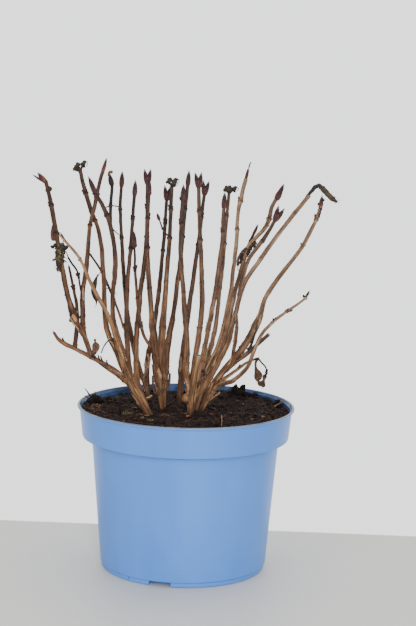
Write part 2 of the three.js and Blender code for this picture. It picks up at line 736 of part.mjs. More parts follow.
// The pot is a turned shell with a stepped collar, a rounded lip and drain notches under its foot ring.
function potShell() {
  const outline = [
    [0, 0],
    [FOOT_RADIUS - FOOT_RING_IN - 0.8, 0],
    [FOOT_RADIUS - FOOT_RING_IN, 1.2],
    [FOOT_RADIUS - FOOT_RING_IN, FOOT_RING_HEIGHT],
    [FOOT_RADIUS, FOOT_RING_HEIGHT + 0.6],
    [BODY_TOP_RADIUS, BODY_TOP],
    [COLLAR_FOOT_RADIUS, COLLAR_FOOT],
    [NECK_RADIUS, NECK],
    [RIM_RADIUS, POT_HEIGHT - RIM_LIP * 0.8],
    [RIM_RADIUS, POT_HEIGHT - RIM_LIP * 0.3],
    [RIM_RADIUS - 0.6, POT_HEIGHT],
    [RIM_RADIUS - RIM_WIDTH, POT_HEIGHT],
    [NECK_RADIUS - WALL, NECK],
    [COLLAR_FOOT_RADIUS - WALL, COLLAR_FOOT + SHELF],
    [BODY_TOP_RADIUS - WALL, BODY_TOP + SHELF],
    [FOOT_RADIUS - WALL, FLOOR],
    [0, FLOOR],
  ];
  const profile = outline.map(([radius, height]) => new THREE.Vector2(radius, height));
  const turned = new THREE.LatheGeometry(profile, SECTORS);
  turned.rotateX(Math.PI / 2);
  return solidFrom(turned);
}

function drainNotch(angle) {
  const shape = new THREE.Shape();
  shape.moveTo(-DRAIN_WIDTH / 2, -1);
  shape.lineTo(DRAIN_WIDTH / 2, -1);
  shape.lineTo(DRAIN_WIDTH / 2 - DRAIN_SLANT, DRAIN_HEIGHT);
  shape.lineTo(-DRAIN_WIDTH / 2 + DRAIN_SLANT, DRAIN_HEIGHT);
  shape.closePath();
  const notch = new THREE.ExtrudeGeometry(shape, { depth: DRAIN_DEPTH + 4, bevelEnabled: false });
  notch.rotateX(Math.PI / 2);
  notch.translate(0, -(FOOT_RADIUS - DRAIN_DEPTH), 0);
  notch.rotateZ(angle);
  return solidFrom(notch);
}

function pot() {
  let shell = potShell();
  for (let i = 0; i < DRAINS; i += 1) {
    shell = shell.subtract(drainNotch((i / DRAINS) * 2 * Math.PI + DRAIN_START));
  }
  return shell;
}

// The radius inside the pot's collar at a height.
function insideRadius(z) {
  return mix(COLLAR_FOOT_RADIUS, NECK_RADIUS, (z - COLLAR_FOOT) / (NECK - COLLAR_FOOT)) - WALL;
}

// The height of the compost's surface: low ripples, a bank towards the wall, and drifts on the left and
// at the back that nearly reach the rim.
function soilHeight(x, y) {
  const ripple = Math.sin(x * 0.09 + 1) * Math.cos(y * 0.11) + 0.6 * Math.sin(x * 0.05 - y * 0.13);
  const share = Math.hypot(x, y) / insideRadius(SOIL_TOP);
  const drifted = SOIL_DRIFTS.reduce((sum, { at, rise, reach }) => {
    const away = Math.hypot(x - at[0], y - at[1]) / reach;
    return sum + rise * Math.exp(-away * away);
  }, 0);
  return SOIL_TOP + ripple * SOIL_RIPPLE * (1 - 0.6 * share) + SOIL_BANK * share ** 4 + drifted;
}

// A lump of compost that stands up from the surface.
function lump([x, y, z], radius, tall) {
  const geometry = new THREE.IcosahedronGeometry(radius, 0);
  geometry.scale(1, 0.9, tall / radius);
  geometry.rotateZ(x);
  geometry.translate(x, y, z);
  return solidFrom(geometry);
}

const LUMPS = [
  { at: [49.5, 86, 175], radius: 4, tall: 7 },
  { at: [57.5, 85, 175], radius: 3.6, tall: 7.5 },
  { at: [54, 84, 172], radius: 8, tall: 6 },
  { at: [-100, 18, 172], radius: 6, tall: 7 },
  { at: [-84, 46, 169], radius: 6, tall: 5 },
  { at: [84, 24, 168], radius: 7, tall: 4 },
];

function compost() {
  const edge = insideRadius(SOIL_TOP) - SOIL_CLEAR;
  const outline = [
    [0, FLOOR + GAP],
    [FOOT_RADIUS - WALL - SOIL_CLEAR, FLOOR + GAP],
    [BODY_TOP_RADIUS - WALL - SOIL_CLEAR, BODY_TOP + SHELF + SOIL_CLEAR],
    [COLLAR_FOOT_RADIUS - WALL - SOIL_CLEAR, COLLAR_FOOT + SHELF + SOIL_CLEAR],
  ];
  for (let ring = SOIL_RINGS; ring >= 0; ring -= 1) outline.push([edge * (ring / SOIL_RINGS), SOIL_TOP]);
  const profile = outline.map(([radius, height]) => new THREE.Vector2(radius, height));
  const turned = new THREE.LatheGeometry(profile, SECTORS);
  turned.rotateX(Math.PI / 2);
  const position = turned.attributes.position;
  for (let i = 0; i < position.count; i += 1) {
    const [x, y] = [position.getX(i), position.getY(i)];
    if (position.getZ(i) > SOIL_TOP - 1) {
      const height = soilHeight(x, y);
      const reach = Math.hypot(x, y);
      const wider = reach > edge - 1 ? (insideRadius(height) - SOIL_CLEAR) / reach : 1;
      position.setXYZ(i, x * wider, y * wider, height);
    }
  }
  const lumps = LUMPS.map(({ at, radius, tall }) => lump(at, radius, tall));
  return joined([solidFrom(turned), ...lumps]);
}

// One widening socket in the compost for each foot, which leans the way that its stems do.
function socket(foot, members) {
  const start = new THREE.Vector3(...foot);
  const lean = new THREE.Vector3();
  members.forEach((stem) => lean.add(tangentOn(stem.line, STEM_SUNK)));
  lean.normalize();
  const tall = SOCKET_RISE / lean.z;
  const line = lineThrough([start.toArray(), start.clone().addScaledVector(lean, tall).toArray()]);
  const spread = Math.max(...members.map((stem) => (
    pointOn(stem.line, tall).distanceTo(pointOn(line, tall)) + radiusOn(stem, tall)
  )));
  const wide = Math.max(...members.map((stem) => stem.radii[0])) + SOCKET_MARGIN / 2;
  const mouth = Math.max(wide, spread) + SOCKET_MARGIN;
  return limb(line, [[-SOCKET_DEPTH, wide], [tall, mouth]], SOCKET_SIDES);
}

function sockets() {
  return joined(Object.entries(FEET).map(([name, foot]) => (
    socket(foot, stems.filter((stem) => stem.stool === name))
  )));
}

function growPlant() {
  Object.keys(FEET).forEach((name) => {
    const members = stems.filter((stem) => stem.stool === name);
    if (members.length > 1) addMesh("stool_" + name, stool(members), "stool");
  });
  const forked = stems.filter((stem) => stem.stool === FORK.name);
  addMesh("stool_" + FORK.name, forkStool(forked), "stool");
  stems.forEach((stem, i) => addStem(stem, STEM_SEED + i * SEED_STEP));
  sideStems.forEach((stem, i) => addSideStem(stem, SIDE_STEM_SEED + i * SEED_STEP));
}

growPlant();
addMesh("pot", pot(), "pot");
addMesh("compost", compost().subtract(sockets()), "compost");

export default model;
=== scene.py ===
import math

import bmesh
import bpy
import numpy as np
from mathutils import Matrix, Vector


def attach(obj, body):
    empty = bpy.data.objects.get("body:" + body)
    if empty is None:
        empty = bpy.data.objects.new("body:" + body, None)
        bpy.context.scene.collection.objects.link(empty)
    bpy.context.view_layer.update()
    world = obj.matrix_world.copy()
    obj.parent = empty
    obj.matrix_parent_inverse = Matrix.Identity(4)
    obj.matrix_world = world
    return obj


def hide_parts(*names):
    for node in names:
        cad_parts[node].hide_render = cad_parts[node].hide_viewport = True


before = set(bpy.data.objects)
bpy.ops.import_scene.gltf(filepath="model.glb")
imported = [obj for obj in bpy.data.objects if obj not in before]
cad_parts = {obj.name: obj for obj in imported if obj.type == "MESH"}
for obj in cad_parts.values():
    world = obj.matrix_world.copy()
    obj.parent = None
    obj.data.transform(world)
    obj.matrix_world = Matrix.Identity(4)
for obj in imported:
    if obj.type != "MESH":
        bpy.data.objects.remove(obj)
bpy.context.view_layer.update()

MM = 0.001
TAU = 2 * math.pi
HALVES = (0, math.pi)

# Pot
POT_HEIGHT = 176.0
RIM_RADIUS = 116.0
RIM_WIDTH = 3.0
RIM_LIP = 2.8
NECK_RADIUS = 113.6
COLLAR_HEIGHT = 33.5
COLLAR_FOOT_RADIUS = 110.4
COLLAR_STEP = 1.0
BODY_TOP_RADIUS = 100.2
FOOT_RADIUS = 89.2
FOOT_RING_HEIGHT = 5.6
FOOT_RING_IN = 1.4
WALL = 2.2
FLOOR = 8.0
DRAINS = 3
DRAIN_WIDTH = 25.0
DRAIN_HEIGHT = 5.2
DRAIN_SLANT = 1.0
DRAIN_DEPTH = 16.0
DRAIN_START = -0.205
COLLAR_FOOT = POT_HEIGHT - COLLAR_HEIGHT
BODY_TOP = COLLAR_FOOT - COLLAR_STEP
NECK = POT_HEIGHT - RIM_LIP - 0.6
SHELF = 1.4
# The height of the painted shadow line on the body just under the collar.
COLLAR_SHADOW_LINE = 2.0
INSIDE_LIP = math.radians(126)
POT_SECTORS = 288
PIN_HOLE_RADIUS = 0.95
PIN_HOLE_HEIGHT = 3.3
PIN_HOLE_ANGLE = -0.628
PIN_HOLE_DEPTH = 8
CUT_OUTSIDE = 6
SHARP_ANGLE = math.radians(32)

# Compost
SOIL_TOP = 166.0
SOIL_RIPPLE = 1.4
SOIL_BANK = 2.6
SOIL_DRIFTS = [((-106, -12), 3.6, 34), ((60, 90), 5.2, 30)]
SOIL_CLEAR = 0.5
SOIL_RINGS = 110
SOIL_SECTORS = 330
# The lumps and ridges of the surface: the seed, the height and the breadth of each size.
SOIL_LUMPS = ((1, 1.5, 17.0), (2, 1.3, 7.0), (4, 0.5, 1.6))
SOIL_RIDGES = ((3, 0.9, 3.2),)
CRUMBS = 1500
CRUMB_REACH = 0.985
CRUMB_SIZE = (0.5, 2.1)
FIBRES = 420
FIBRE_REACH = 0.96
FIBRE_LENGTH = (4, 17)
FIBRE_RADIUS = (0.13, 0.34)
LOOSE_CHIPS = 18
LOOSE_CHIP_REACH = 0.93
# The limits of length and width of the chips by the stools, loose chips and leaf litter, and of tone.
PLACED_CHIP = ((5, 9), (2.2, 4.2), (0.3, 1.0))
LOOSE_CHIP = ((2.5, 7), (1.2, 3.0), (0, 0.75))
LITTER_CHIP = ((1.6, 4.5), (0.8, 1.9))
MOSS_HEIGHT = (0.8, 2.6)
MOSS_WIDTH = (0.6, 1.2)
STEM_SUNK = 12.0

# Limbs and nodes
GAP = 0.3
SAMPLE_STEP = 2.0
STAND_CLEAR = 0.8
SHORTEST_STOOL = 24.0
NODE_SPACING = 31.0
NODE_BELOW_TIP = 25.0
NODE_ABOVE_FOOT = 9.0
NODE_SWELL = 0.45
NODE_RISE = 2.6
NODE_FALL = 1.6
# How dark a node's ring is, how far past the node, and how wide; then how pale the wood below it is.
NODE_RING = (0.3, 1.0, 1.2)
NODE_FOOT = (-0.12, -2.5, 2.6)
OLD_NODE_SWELL = 0.112
OLD_NODE_SHADE = 0.4
OLD_NODE_SPREAD = (1.0, 1.7)
OLD_NODE_ABOVE_FOOT = 24
STUB_LENGTH = (0.3, 1.8)
STUB_RADIUS = (0.8, 1.3)
STUB_SKIPPED = 0.45

# Buds and twigs
BUD_LENGTH = 17.0
BUD_RADIUS = 2.4
BUD_SLIMNESS = 0.95
BUD_SUNK = 1.0
BUD_LIFT = 0.06
SCALE_THICKNESS = 0.22
SIDE_BUD_LENGTH = 5.5
SIDE_BUD_RADIUS = 1.25
SIDE_BUD_SIZES = (0.45, 1.0)
SIDE_BUD_TIP = (0.85, 1.2)
SCAR_BELOW_NODE = 2.6
SCAR_LENGTH = 2.2
SCAR_HALF_TURN = 0.75
SCAR_THICKNESS = 0.3
PAIR_RISE = 1.36
TWIG_CHANCE = 0.3
TWIG_LENGTH = (14, 30)
TWIG_RADIUS = (1.0, 0.7)
TWIG_BUD_LENGTH = 8.0
TWIG_BUD_RADIUS = 1.5
TWIG_TURN = 0.8
TWIG_TIP = 0.75
# A side twig's middle and end, and how far its end turns up, in shares of its length.
TWIG_BENDS = (0.5, 0.35, 0.3)
TURN_SPREAD = 0.6
WITHERED_ARCH = [(121.5, 33, 398.2), (127.2, 34, 406.2), (130.5, 35, 410), (134.5, 36, 411.2),
                 (138.3, 36, 408.6), (144.4, 37, 401.8), (149, 38, 397.8), (154.5, 39, 394)]
CAP_BELOW_TIP = 13.0
WITHERED_LENGTH = 24.0
CLUMP_ABOVE_CROWN = 32.0
BARE_BELOW_TIP = {"capped": CAP_BELOW_TIP - 3, "withered": WITHERED_LENGTH + 17}
CLUMP_SCRAPS = 4
CLUMP_SPACING = 3.5
CLUMP_HUSKS = 330
CLUMP_KNOBS = ((-1, 11.5), (1, 9.5))
TANGLE_PIECES = 96
TANGLE_FOOT, TANGLE_HEAD = np.array([51, 40, 326]), np.array([66, 44, 346])
TANGLE_SPREAD = (6, 3, 6)
RAG_SCRAPS = 30
GOLDEN_TURN = 2.39996
# The small bends of real wood: how far they reach, their two sizes, and the length in which they set in.
WAVER = 0.55
LONG_BEND, SHORT_BEND = 19.0, 7.0
WAVER_START = 14.0
SHORTEST_WAVERING = 60.0
FOOT_THINNING = 0.46
FOOT_THINNED_LENGTH = 48.0
LOOSE_BARK = 0.42
LOOSE_BARK_FROM = 1.6
OLD_WOOD_FADE_IN, OLD_WOOD_FADE_OUT = 12, 8
# Stems darken towards the compost, for damp and painted shade: over this height above it, and by this tone at
# most.
DAMP_AND_SHADE_HEIGHT = 16.0
DAMP_AND_SHADE_TONE = 0.3

# Bark: how many ridges run round a stem, each set with its strength, and the strips that peel off
RIDGES = ((2, 0.4), (3, 0.5), (5, 0.5), (7, 0.4))
GROOVE_DEPTH = 1.6
BARK_BUMPS = 0.9
OLD_BARK = {"step": 1.2, "sides": 22, "depth": 0.085}
YOUNG_BARK = {"step": 0.95, "sides": 16, "depth": 0.07}
PRONG_BARK = {"step": 0.95, "sides": 14, "depth": 0.06}
STRIP_SPACING = 5
STRIP_LENGTH = (5, 19)
STRIP_WIDTH = (0.18, 0.5)
STRIP_LIFT = (0.2, 1.3)
STRIP_THICKNESS = 0.2

# Seeds
STEM_SEED = 100
SIDE_STEM_SEED = 500
SEED_STEP = 7
TANGLE_SEED = 77
CLUMP_SEED = 1313
RAG_SEED = 8080
STRIP_SEED = 4242
SCATTER_SEED = 991

# Surroundings, in metres
FLOOR_REACH = 6.0
FLOOR_BACK = 0.14
FLOOR_DROP = -0.0002
LIGHT_AIM = (0, 0, 0.2)
LIGHTS = {
    "key": ((0.31, -2.25, 0.8), (0.4, 1.3), 46, (1.0, 0.985, 0.96)),
    "side": ((-1.38, -1.84, 0.6), (0.35, 1.5), 9, (1.0, 0.99, 0.98)),
    "top": ((0.1, 0.2, 2.4), (1.6, 1.6), 10, (1, 1, 1)),
}
CAMERA_PLACE = (0.1187, -1.7851, 0.5540)
CAMERA_PITCH = math.radians(8.85)
CAMERA_YAW = math.radians(-3.13)
CAMERA_ROLL = math.radians(1.39)
CAMERA_LENS = 98.056
SENSOR_WIDTH = 36
FAR_END = 50
WORLD_COLOUR = "#e9eaeb"
# How the surround brightens towards what lies behind the plant.
WORLD_STRENGTH = {"From Min": 0.2, "From Max": 0.9, "To Min": 0.9, "To Max": 2.35}

# Where each group of stems stands in the compost, and where the left fork leaves its low bough.
FEET = {
    "left": (-30.5, -18, SOIL_TOP - STEM_SUNK),
    "rear_left": (-43, 50, SOIL_TOP - STEM_SUNK),
    "centre_left": (-25, 19, SOIL_TOP - STEM_SUNK),
    "centre": (4, -6, SOIL_TOP - STEM_SUNK),
    "rear": (-10, 45, SOIL_TOP - STEM_SUNK),
    "right": (7, 8, SOIL_TOP - STEM_SUNK),
    "far_right": (9, 20, SOIL_TOP - STEM_SUNK),
}
FORK_FOOT = (-101, -13, 226)

# Each stem: the stool or bough it grows from, its radius at foot and tip, where its twigs begin, what
# ends it, its tone at foot and tip (0 is pale old bark, 1 is dark young wood), and its bends.
STEMS = {
    "left_low": ("left", (3.6, 1.3), 1, "thin", (0.3, 0.5), [
        (-46, -17, 185), (-58, -16, 200), (-80, -14, 214), (-105, -13, 228), (-136, -11, 243),
        (-142, -10, 251)]),
    "left_tall": ("left", (3, 1.5), 0.72, "flower", (0.3, 0.6), [
        (-58, -16, 198), (-73, -8, 228), (-87, 2, 256), (-92, 12, 300), (-97, 19, 347),
        (-117, 26, 405), (-121, 28, 421)]),
    "left_tan": ("left", (2.8, 1), 1, "thin", (0.4, 0.25), [
        (-57, -21, 199), (-71, -25, 239), (-79, -27, 266), (-101, -31, 309), (-112, -33, 333),
        (-122, -34, 346), (-133, -35, 358)]),
    "left_forked": ("left", (2.8, 1.5), 0.76, "tall", (0.35, 0.75), [
        (-56, -12, 197), (-70, -12, 240), (-79, -10, 269), (-78, -8, 335), (-84, -10, 370),
        (-91, -12, 387), (-99, -14, 400)]),
    "left_inner": ("left", (2.9, 1.4), 0.74, "bud", (0.3, 0.8), [
        (-56, -8, 197), (-65, 4, 238), (-67, 14, 285), (-64, 22, 350), (-62, 26, 396)]),
    "left_rear": ("left", (3.2, 1.5), 0.75, "pair", (0.25, 0.75), [
        (-52, -2, 196), (-56, 10, 237), (-53, 22, 295), (-48, 31, 359), (-49, 34, 408)]),
    "rear_left": ("rear_left", (2.6, 1.3), 0.72, "bud", (0.4, 0.8), [
        (-48, 53, 182), (-58, 58, 207), (-70, 60, 256), (-76, 52, 323), (-79, 46, 383),
        (-78, 44, 404)]),
    "rear_back": ("rear_left", (2.8, 1.4), 0.72, "pair", (0.4, 0.8), [
        (-47, 58, 184), (-48, 65, 206), (-42, 80, 256), (-36, 92, 330), (-33, 96, 386)]),
    "mid_front": ("centre_left", (3.3, 1.6), 0.74, "bud", (0.25, 0.7), [
        (-30, 16, 189), (-36, 9, 237), (-40, -6, 288), (-43, -20, 354), (-42, -25, 402)]),
    "mid_left": ("centre_left", (3.4, 1.6), 0.73, "flower", (0.2, 0.7), [
        (-29, 24, 190), (-31, 38, 233), (-29, 50, 281), (-26, 60, 350), (-25, 64, 404)]),
    "mid_rear": ("centre_left", (3, 1.5), 0.74, "bud", (0.25, 0.75), [
        (-26, 30, 188), (-25, 54, 230), (-19, 68, 279), (-13, 76, 350), (-9, 80, 404)]),
    "rear": ("rear", (3.2, 1.5), 0.7, "pair", (0.4, 0.75), [
        (-10, 49, 195), (-8, 62, 232), (-4, 84, 276), (3, 100, 340), (8, 107, 392)]),
    "front_left": ("centre", (3.2, 1.5), 0.74, "bud", (0.3, 0.7), [
        (3, -6, 190), (0, -6, 214), (0, -7, 241), (-4, -17, 291), (-8, -26, 350), (-6, -33, 398)]),
    "middle": ("centre", (3.3, 1.6), 0.74, "pair", (0.2, 0.65), [
        (5, 0, 191), (7, 9, 214), (10, 18, 238), (13, 27, 286), (9, 32, 350), (6, 34, 406)]),
    "pruned": ("centre", (3, 2.6), 1, "cut", (0.3, 0.22), [
        (7, -9, 194), (13, -13, 231)]),
    "front_right": ("centre", (2.8, 1.4), 0.74, "bud", (0.2, 0.6), [
        (9, -4, 192), (15, -8, 218), (20, -13, 246), (28, -26, 294), (35, -38, 350),
        (37, -43, 392)]),
    "right_back": ("right", (2.8, 1.4), 0.72, "slim", (0.25, 0.35), [
        (13, 25, 192), (22, 31, 213), (32, 39, 235), (41, 52, 283), (46, 62, 336), (48, 68, 381),
        (52, 70, 401), (55, 71, 414)]),
    "right_inner": ("right", (2.8, 1.4), 0.73, "flower", (0.25, 0.6), [
        (10, 28, 190), (17, 36, 210), (24, 48, 236), (29, 66, 281), (33, 84, 345), (36, 94, 396)]),
    "right_bundle": ("right", (2.7, 1.5), 0.68, "bud", (0.28, 0.5), [
        (15, 21, 190), (26, 29, 215), (36, 34, 239), (46, 39, 285), (61, 43, 342), (80, 50, 366),
        (85, 54, 386), (90, 56, 396)]),
    "right_arch": ("right", (2.7, 1.6), 0.8, "withered", (0.3, 0.35), [
        (16, 17, 188), (29, 19, 214), (40, 20, 238), (49, 18, 272), (59, 16, 307), (96, 25, 363),
        (124, 33, 401), (133, 36, 411), (141, 37, 404), (154, 39, 395)]),
    "right_front": ("far_right", (2.4, 1.5), 0.78, "pair", (0.28, 0.6), [
        (31, 19, 199), (46, 18, 220), (49, 13, 236), (52, 6, 260), (51, 0, 277), (54, -4, 300),
        (64, -7, 337), (81, -9, 361), (89, -9, 377)]),
    "right_tall": ("far_right", (3.2, 1.7), 0.84, "capped", (0.33, 0.33), [
        (31, 20, 200), (48, 20, 222), (61, 15, 241), (75, 10, 269), (81, 5, 293), (93, 0, 313),
        (117, -8, 348), (133, -15, 382), (139, -19, 404)]),
    "right_low": ("far_right", (2.9, 1.3), 0.8, "hook", (0.3, 0.25), [
        (33, 12, 194), (49, 8, 202), (63, 0, 217), (71, -8, 236), (79, -15, 256), (90, -20, 271),
        (124, -34, 300)]),
    "right_pruned": ("far_right", (2.4, 2.1), 1, "cut", (0.4, 0.45), [
        (31, 22, 198), (46, 23, 216), (61, 22, 228), (75, 20, 241), (86, 18, 252)]),
    "right_withered": ("far_right", (1.6, 0.9), 0, "leaves", (0.1, 0.5), [
        (31, 22, 193), (45, 26, 205), (62, 25, 219), (76, 23, 225)]),
    "fork_outer": ("left_fork", (2.6, 1.7), 0.42, "twin", (0.45, 0.75), [
        (-109, -13, 248), (-120, -15, 269), (-129, -18, 303), (-133, -20, 325), (-140, -22, 366),
        (-147, -24, 402), (-150, -24, 413)]),
    "fork_inner": ("left_fork", (2.4, 1.6), 0.62, "slender", (0.5, 0.6), [
        (-109, -12, 249), (-112, -5, 276), (-113, -1, 290), (-108, 2, 335), (-106, 5, 367),
        (-102, 6, 385), (-97, 8, 413), (-95, 9, 420)]),
}
# The same for the stems that leave another one: first comes the stem they leave.
SIDE_STEMS = {
    "low_side": ("left_low", (2.1, 0.9), 0, "thin", (0.55, 0.75), [
        (-119, -12, 236), (-118, -6, 257), (-119, -3, 275), (-120, -3, 287), (-123, -5, 301),
        (-127, -8, 322)]),
    "fork_side": ("fork_inner", (1.1, 0.8), 0, "thin", (0.8, 0.95), [
        (-113, -2, 288), (-115.5, -3, 301), (-118.4, -6, 317), (-123.3, -10, 325),
        (-127.1, -13, 332)]),
    "crossing": ("left_inner", (1.3, 0.9), 0, "thin", (0.45, 0.85), [
        (-66, 6, 248), (-77, 15, 274), (-95, 24, 312), (-109, 25, 332)]),
    "mid_side": ("mid_front", (1.7, 1), 0, "bud", (0.4, 0.8), [
        (-36, 10, 232), (-46, 6, 245), (-53, 1, 276), (-57, -4, 320), (-58, -6, 345)]),
}
# A second shoot near a stem's tip: its radii, what ends it, its tones and its bends.
PRONGS = {
    "left_forked": ((1.7, 1.4), "curl", (0.85, 1.0), [
        (-83, -10, 366), (-84, -4, 387), (-83.8, 4, 403), (-83.9, 6, 408)]),
    "right_bundle": ((1.5, 1.4), "slim", (0.5, 0.7), [
        (59.5, 43, 342), (62.5, 47, 349), (65.5, 50, 355.5)]),
}
# Stretches of thick, shaggy old wood: the heights between which it lies, how much it adds to the
# radius, and how much darker it is.
OLD_WOOD = {
    "right_tall": [(222, 272, 0.75, 0.1), (276, 412, -0.25, 0)],
    "right_low": [(176, 320, -0.4, 0)],
    "right_back": [(376, 424, 0.4, 0)],
    "right_bundle": [(350, 400, 0.35, 0)],
    "left_tall": [(366, 430, 0.3, 0.1)],
    "left_forked": [(300, 430, 0.3, 0)],
    "mid_front": [(184, 268, 1.1, 0.1)],
    "mid_left": [(184, 268, 0.9, 0.1)],
    "mid_rear": [(190, 262, 0.6, 0.15)],
    "right_pruned": [(228, 258, -0.5, 0.15)],
    "right_front": [(212, 300, -0.5, 0.0)],
    "fork_outer": [(255, 284, 0.9, 0.2), (366, 402, 0.25, 0)],
    "low_side": [(226, 262, 0.4, 0.1)],
    "left_low": [(172, 222, 0.4, 0.0), (233, 246, 0.8, 0.0)],
    "right_arch": [(196, 262, 0.5, 0.05)],
}
# The heights of the old nodes of the stems whose nodes show plainly.
SEEN_NODES = {
    "right_tall": (350, 300),
    "right_arch": (382, 334),
    "right_low": (271,),
    "left_tall": (365,),
    "right_back": (),
}


def seeded(seed):
    """A repeatable run of numbers from 0 to 1."""
    state = seed

    def draw():
        nonlocal state
        state = (state * 1664525 + 1013904223) % 4294967296
        return state / 4294967296

    return draw


def mix(a, b, t):
    return a + (b - a) * t


def between(foot, tip, share=0.5):
    """The bends of a straight stretch, with one at a share of it."""
    return [foot, mix(foot, tip, share), tip]


def any_way(draw):
    """A random step, up to a half each way along every axis."""
    return np.array([draw() - 0.5 for _ in range(3)])


def unit(vectors):
    length = np.linalg.norm(vectors, axis=-1, keepdims=True)
    return vectors / np.maximum(length, 1e-9)


def lattice(cells, seed):
    """A random number from 0 to 1 for each whole-numbered cell."""
    i, j, k = (cells[..., axis].astype(np.uint64) for axis in range(3))
    n = i * np.uint64(374761393) + j * np.uint64(668265263) + k * np.uint64(2246822519)
    n = (n + np.uint64(seed * 3266489917 % 4294967296)) & np.uint64(0xFFFFFFFF)
    n = ((n ^ (n >> np.uint64(13))) * np.uint64(1274126177)) & np.uint64(0xFFFFFFFF)
    n = ((n ^ (n >> np.uint64(15))) * np.uint64(2654435761)) & np.uint64(0xFFFFFFFF)
    return (n ^ (n >> np.uint64(16))).astype(float) / 4294967295.0


def noise(points, size, seed=0):
    """Smooth noise from -1 to 1, with features about a size across."""
    place = np.asarray(points, float) / size + 4096.0
    cells = np.floor(place)
    part = place - cells
    part = part * part * (3 - 2 * part)
    total = 0.0
    for corner in range(8):
        step = np.array([corner & 1, (corner >> 1) & 1, (corner >> 2) & 1])
        weight = np.prod(np.where(step == 1, part, 1 - part), axis=-1)
        total = total + weight * lattice(cells + step, seed)
    return total * 2 - 1


def in_scene(name, data):
    made = bpy.data.objects.new(name, data)
    bpy.context.scene.collection.objects.link(made)
    return made


class Line:
    """A smooth centreline through its bends, read by the length along it."""

    DIVISIONS = 200

    def __init__(self, bends):
        self.bends = np.array(bends, float)
        self.turns = np.linspace(0, 1, self.DIVISIONS + 1)
        steps = np.linalg.norm(np.diff(self.spline(self.turns), axis=0), axis=1)
        self.lengths = np.concatenate([[0], np.cumsum(steps)])
        self.length = float(self.lengths[-1])
        self.waver = 0.0
        self.samples = self.at(np.arange(0, self.length + 1e-9, SAMPLE_STEP))

    def spline(self, t):
        bends = self.bends
        last = len(bends) - 1
        place = np.clip(np.asarray(t, float), 0, 1) * last
        i = np.minimum(place.astype(int), last - 1)
        w = (place - i)[:, None]
        ends = np.vstack([2 * bends[0] - bends[1], bends, 2 * bends[-1] - bends[-2]])
        p0, p1, p2, p3 = (ends[i + k] for k in range(4))
        d0, d1, d2 = (
            np.sqrt(np.linalg.norm(b - a, axis=1))[:, None]
            for a, b in ((p0, p1), (p1, p2), (p2, p3))
        )
        t1 = ((p1 - p0) / d0 - (p2 - p0) / (d0 + d1) + (p2 - p1) / d1) * d1
        t2 = ((p2 - p1) / d1 - (p3 - p1) / (d1 + d2) + (p3 - p2) / d2) * d1
        c2 = -3 * p1 + 3 * p2 - 2 * t1 - t2
        c3 = 2 * p1 - 2 * p2 + t1 + t2
        return p1 + t1 * w + c2 * w**2 + c3 * w**3

    def turn(self, s):
        return np.interp(np.clip(s, 0, self.length), self.lengths, self.turns)

    def at(self, s):
        s = np.atleast_1d(np.asarray(s, float))
        past = s - np.clip(s, 0, self.length)
        return self.spline(self.turn(s)) + self.tangent(s) * past[:, None]

    def wavering(self, s):
        """The centreline with the small bends of real wood."""
        s = np.atleast_1d(np.asarray(s, float))
        place = layers(s, self.length * 3, 0.0)
        sway = [noise(place, LONG_BEND, axis) + 0.4 * noise(place, SHORT_BEND, axis + 5) for axis in range(3)]
        room = np.clip(np.minimum(s, self.length - s) / WAVER_START, 0, 1)
        return self.at(s) + np.column_stack(sway) * (room * self.waver)[:, None]

    def tangent(self, s):
        t = self.turn(np.atleast_1d(np.asarray(s, float)))
        return unit(self.spline(np.minimum(t + 1e-4, 1)) - self.spline(np.maximum(t - 1e-4, 0)))


def square_to(tangent, direction):
    square = direction - tangent * np.dot(direction, tangent)
    if np.dot(square, square) < 1e-6:
        return square_to(tangent, np.array([0.3, 1, 0.2]))
    return square / np.linalg.norm(square)


def frames_on(line, stations):
    """The centre, the tangent and two square directions at each station."""
    tangents = line.tangent(stations)
    across = np.zeros_like(tangents)
    direction = np.array([1.0, 0, 0])
    for i, tangent in enumerate(tangents):
        direction = square_to(tangent, direction)
        across[i] = direction
    return line.wavering(stations), tangents, across, np.cross(tangents, across)


def wrapped(line, stations, ring, angles):
    """Points round a centreline, at the radii and angles of a ring for each station."""
    centres, _, across, beside = frames_on(line, stations)
    return (centres[:, None] + (ring * np.cos(angles))[..., None] * across[:, None]
            + (ring * np.sin(angles))[..., None] * beside[:, None])


def circle(sides):
    return np.arange(sides) * TAU / sides


def layers(*parts):
    """Puts arrays side by side as the coordinates of points, each stretched to the first one's shape."""
    shape = np.broadcast_shapes(*(np.shape(part) for part in parts))
    return np.stack([np.broadcast_to(part, shape) for part in parts], axis=-1)


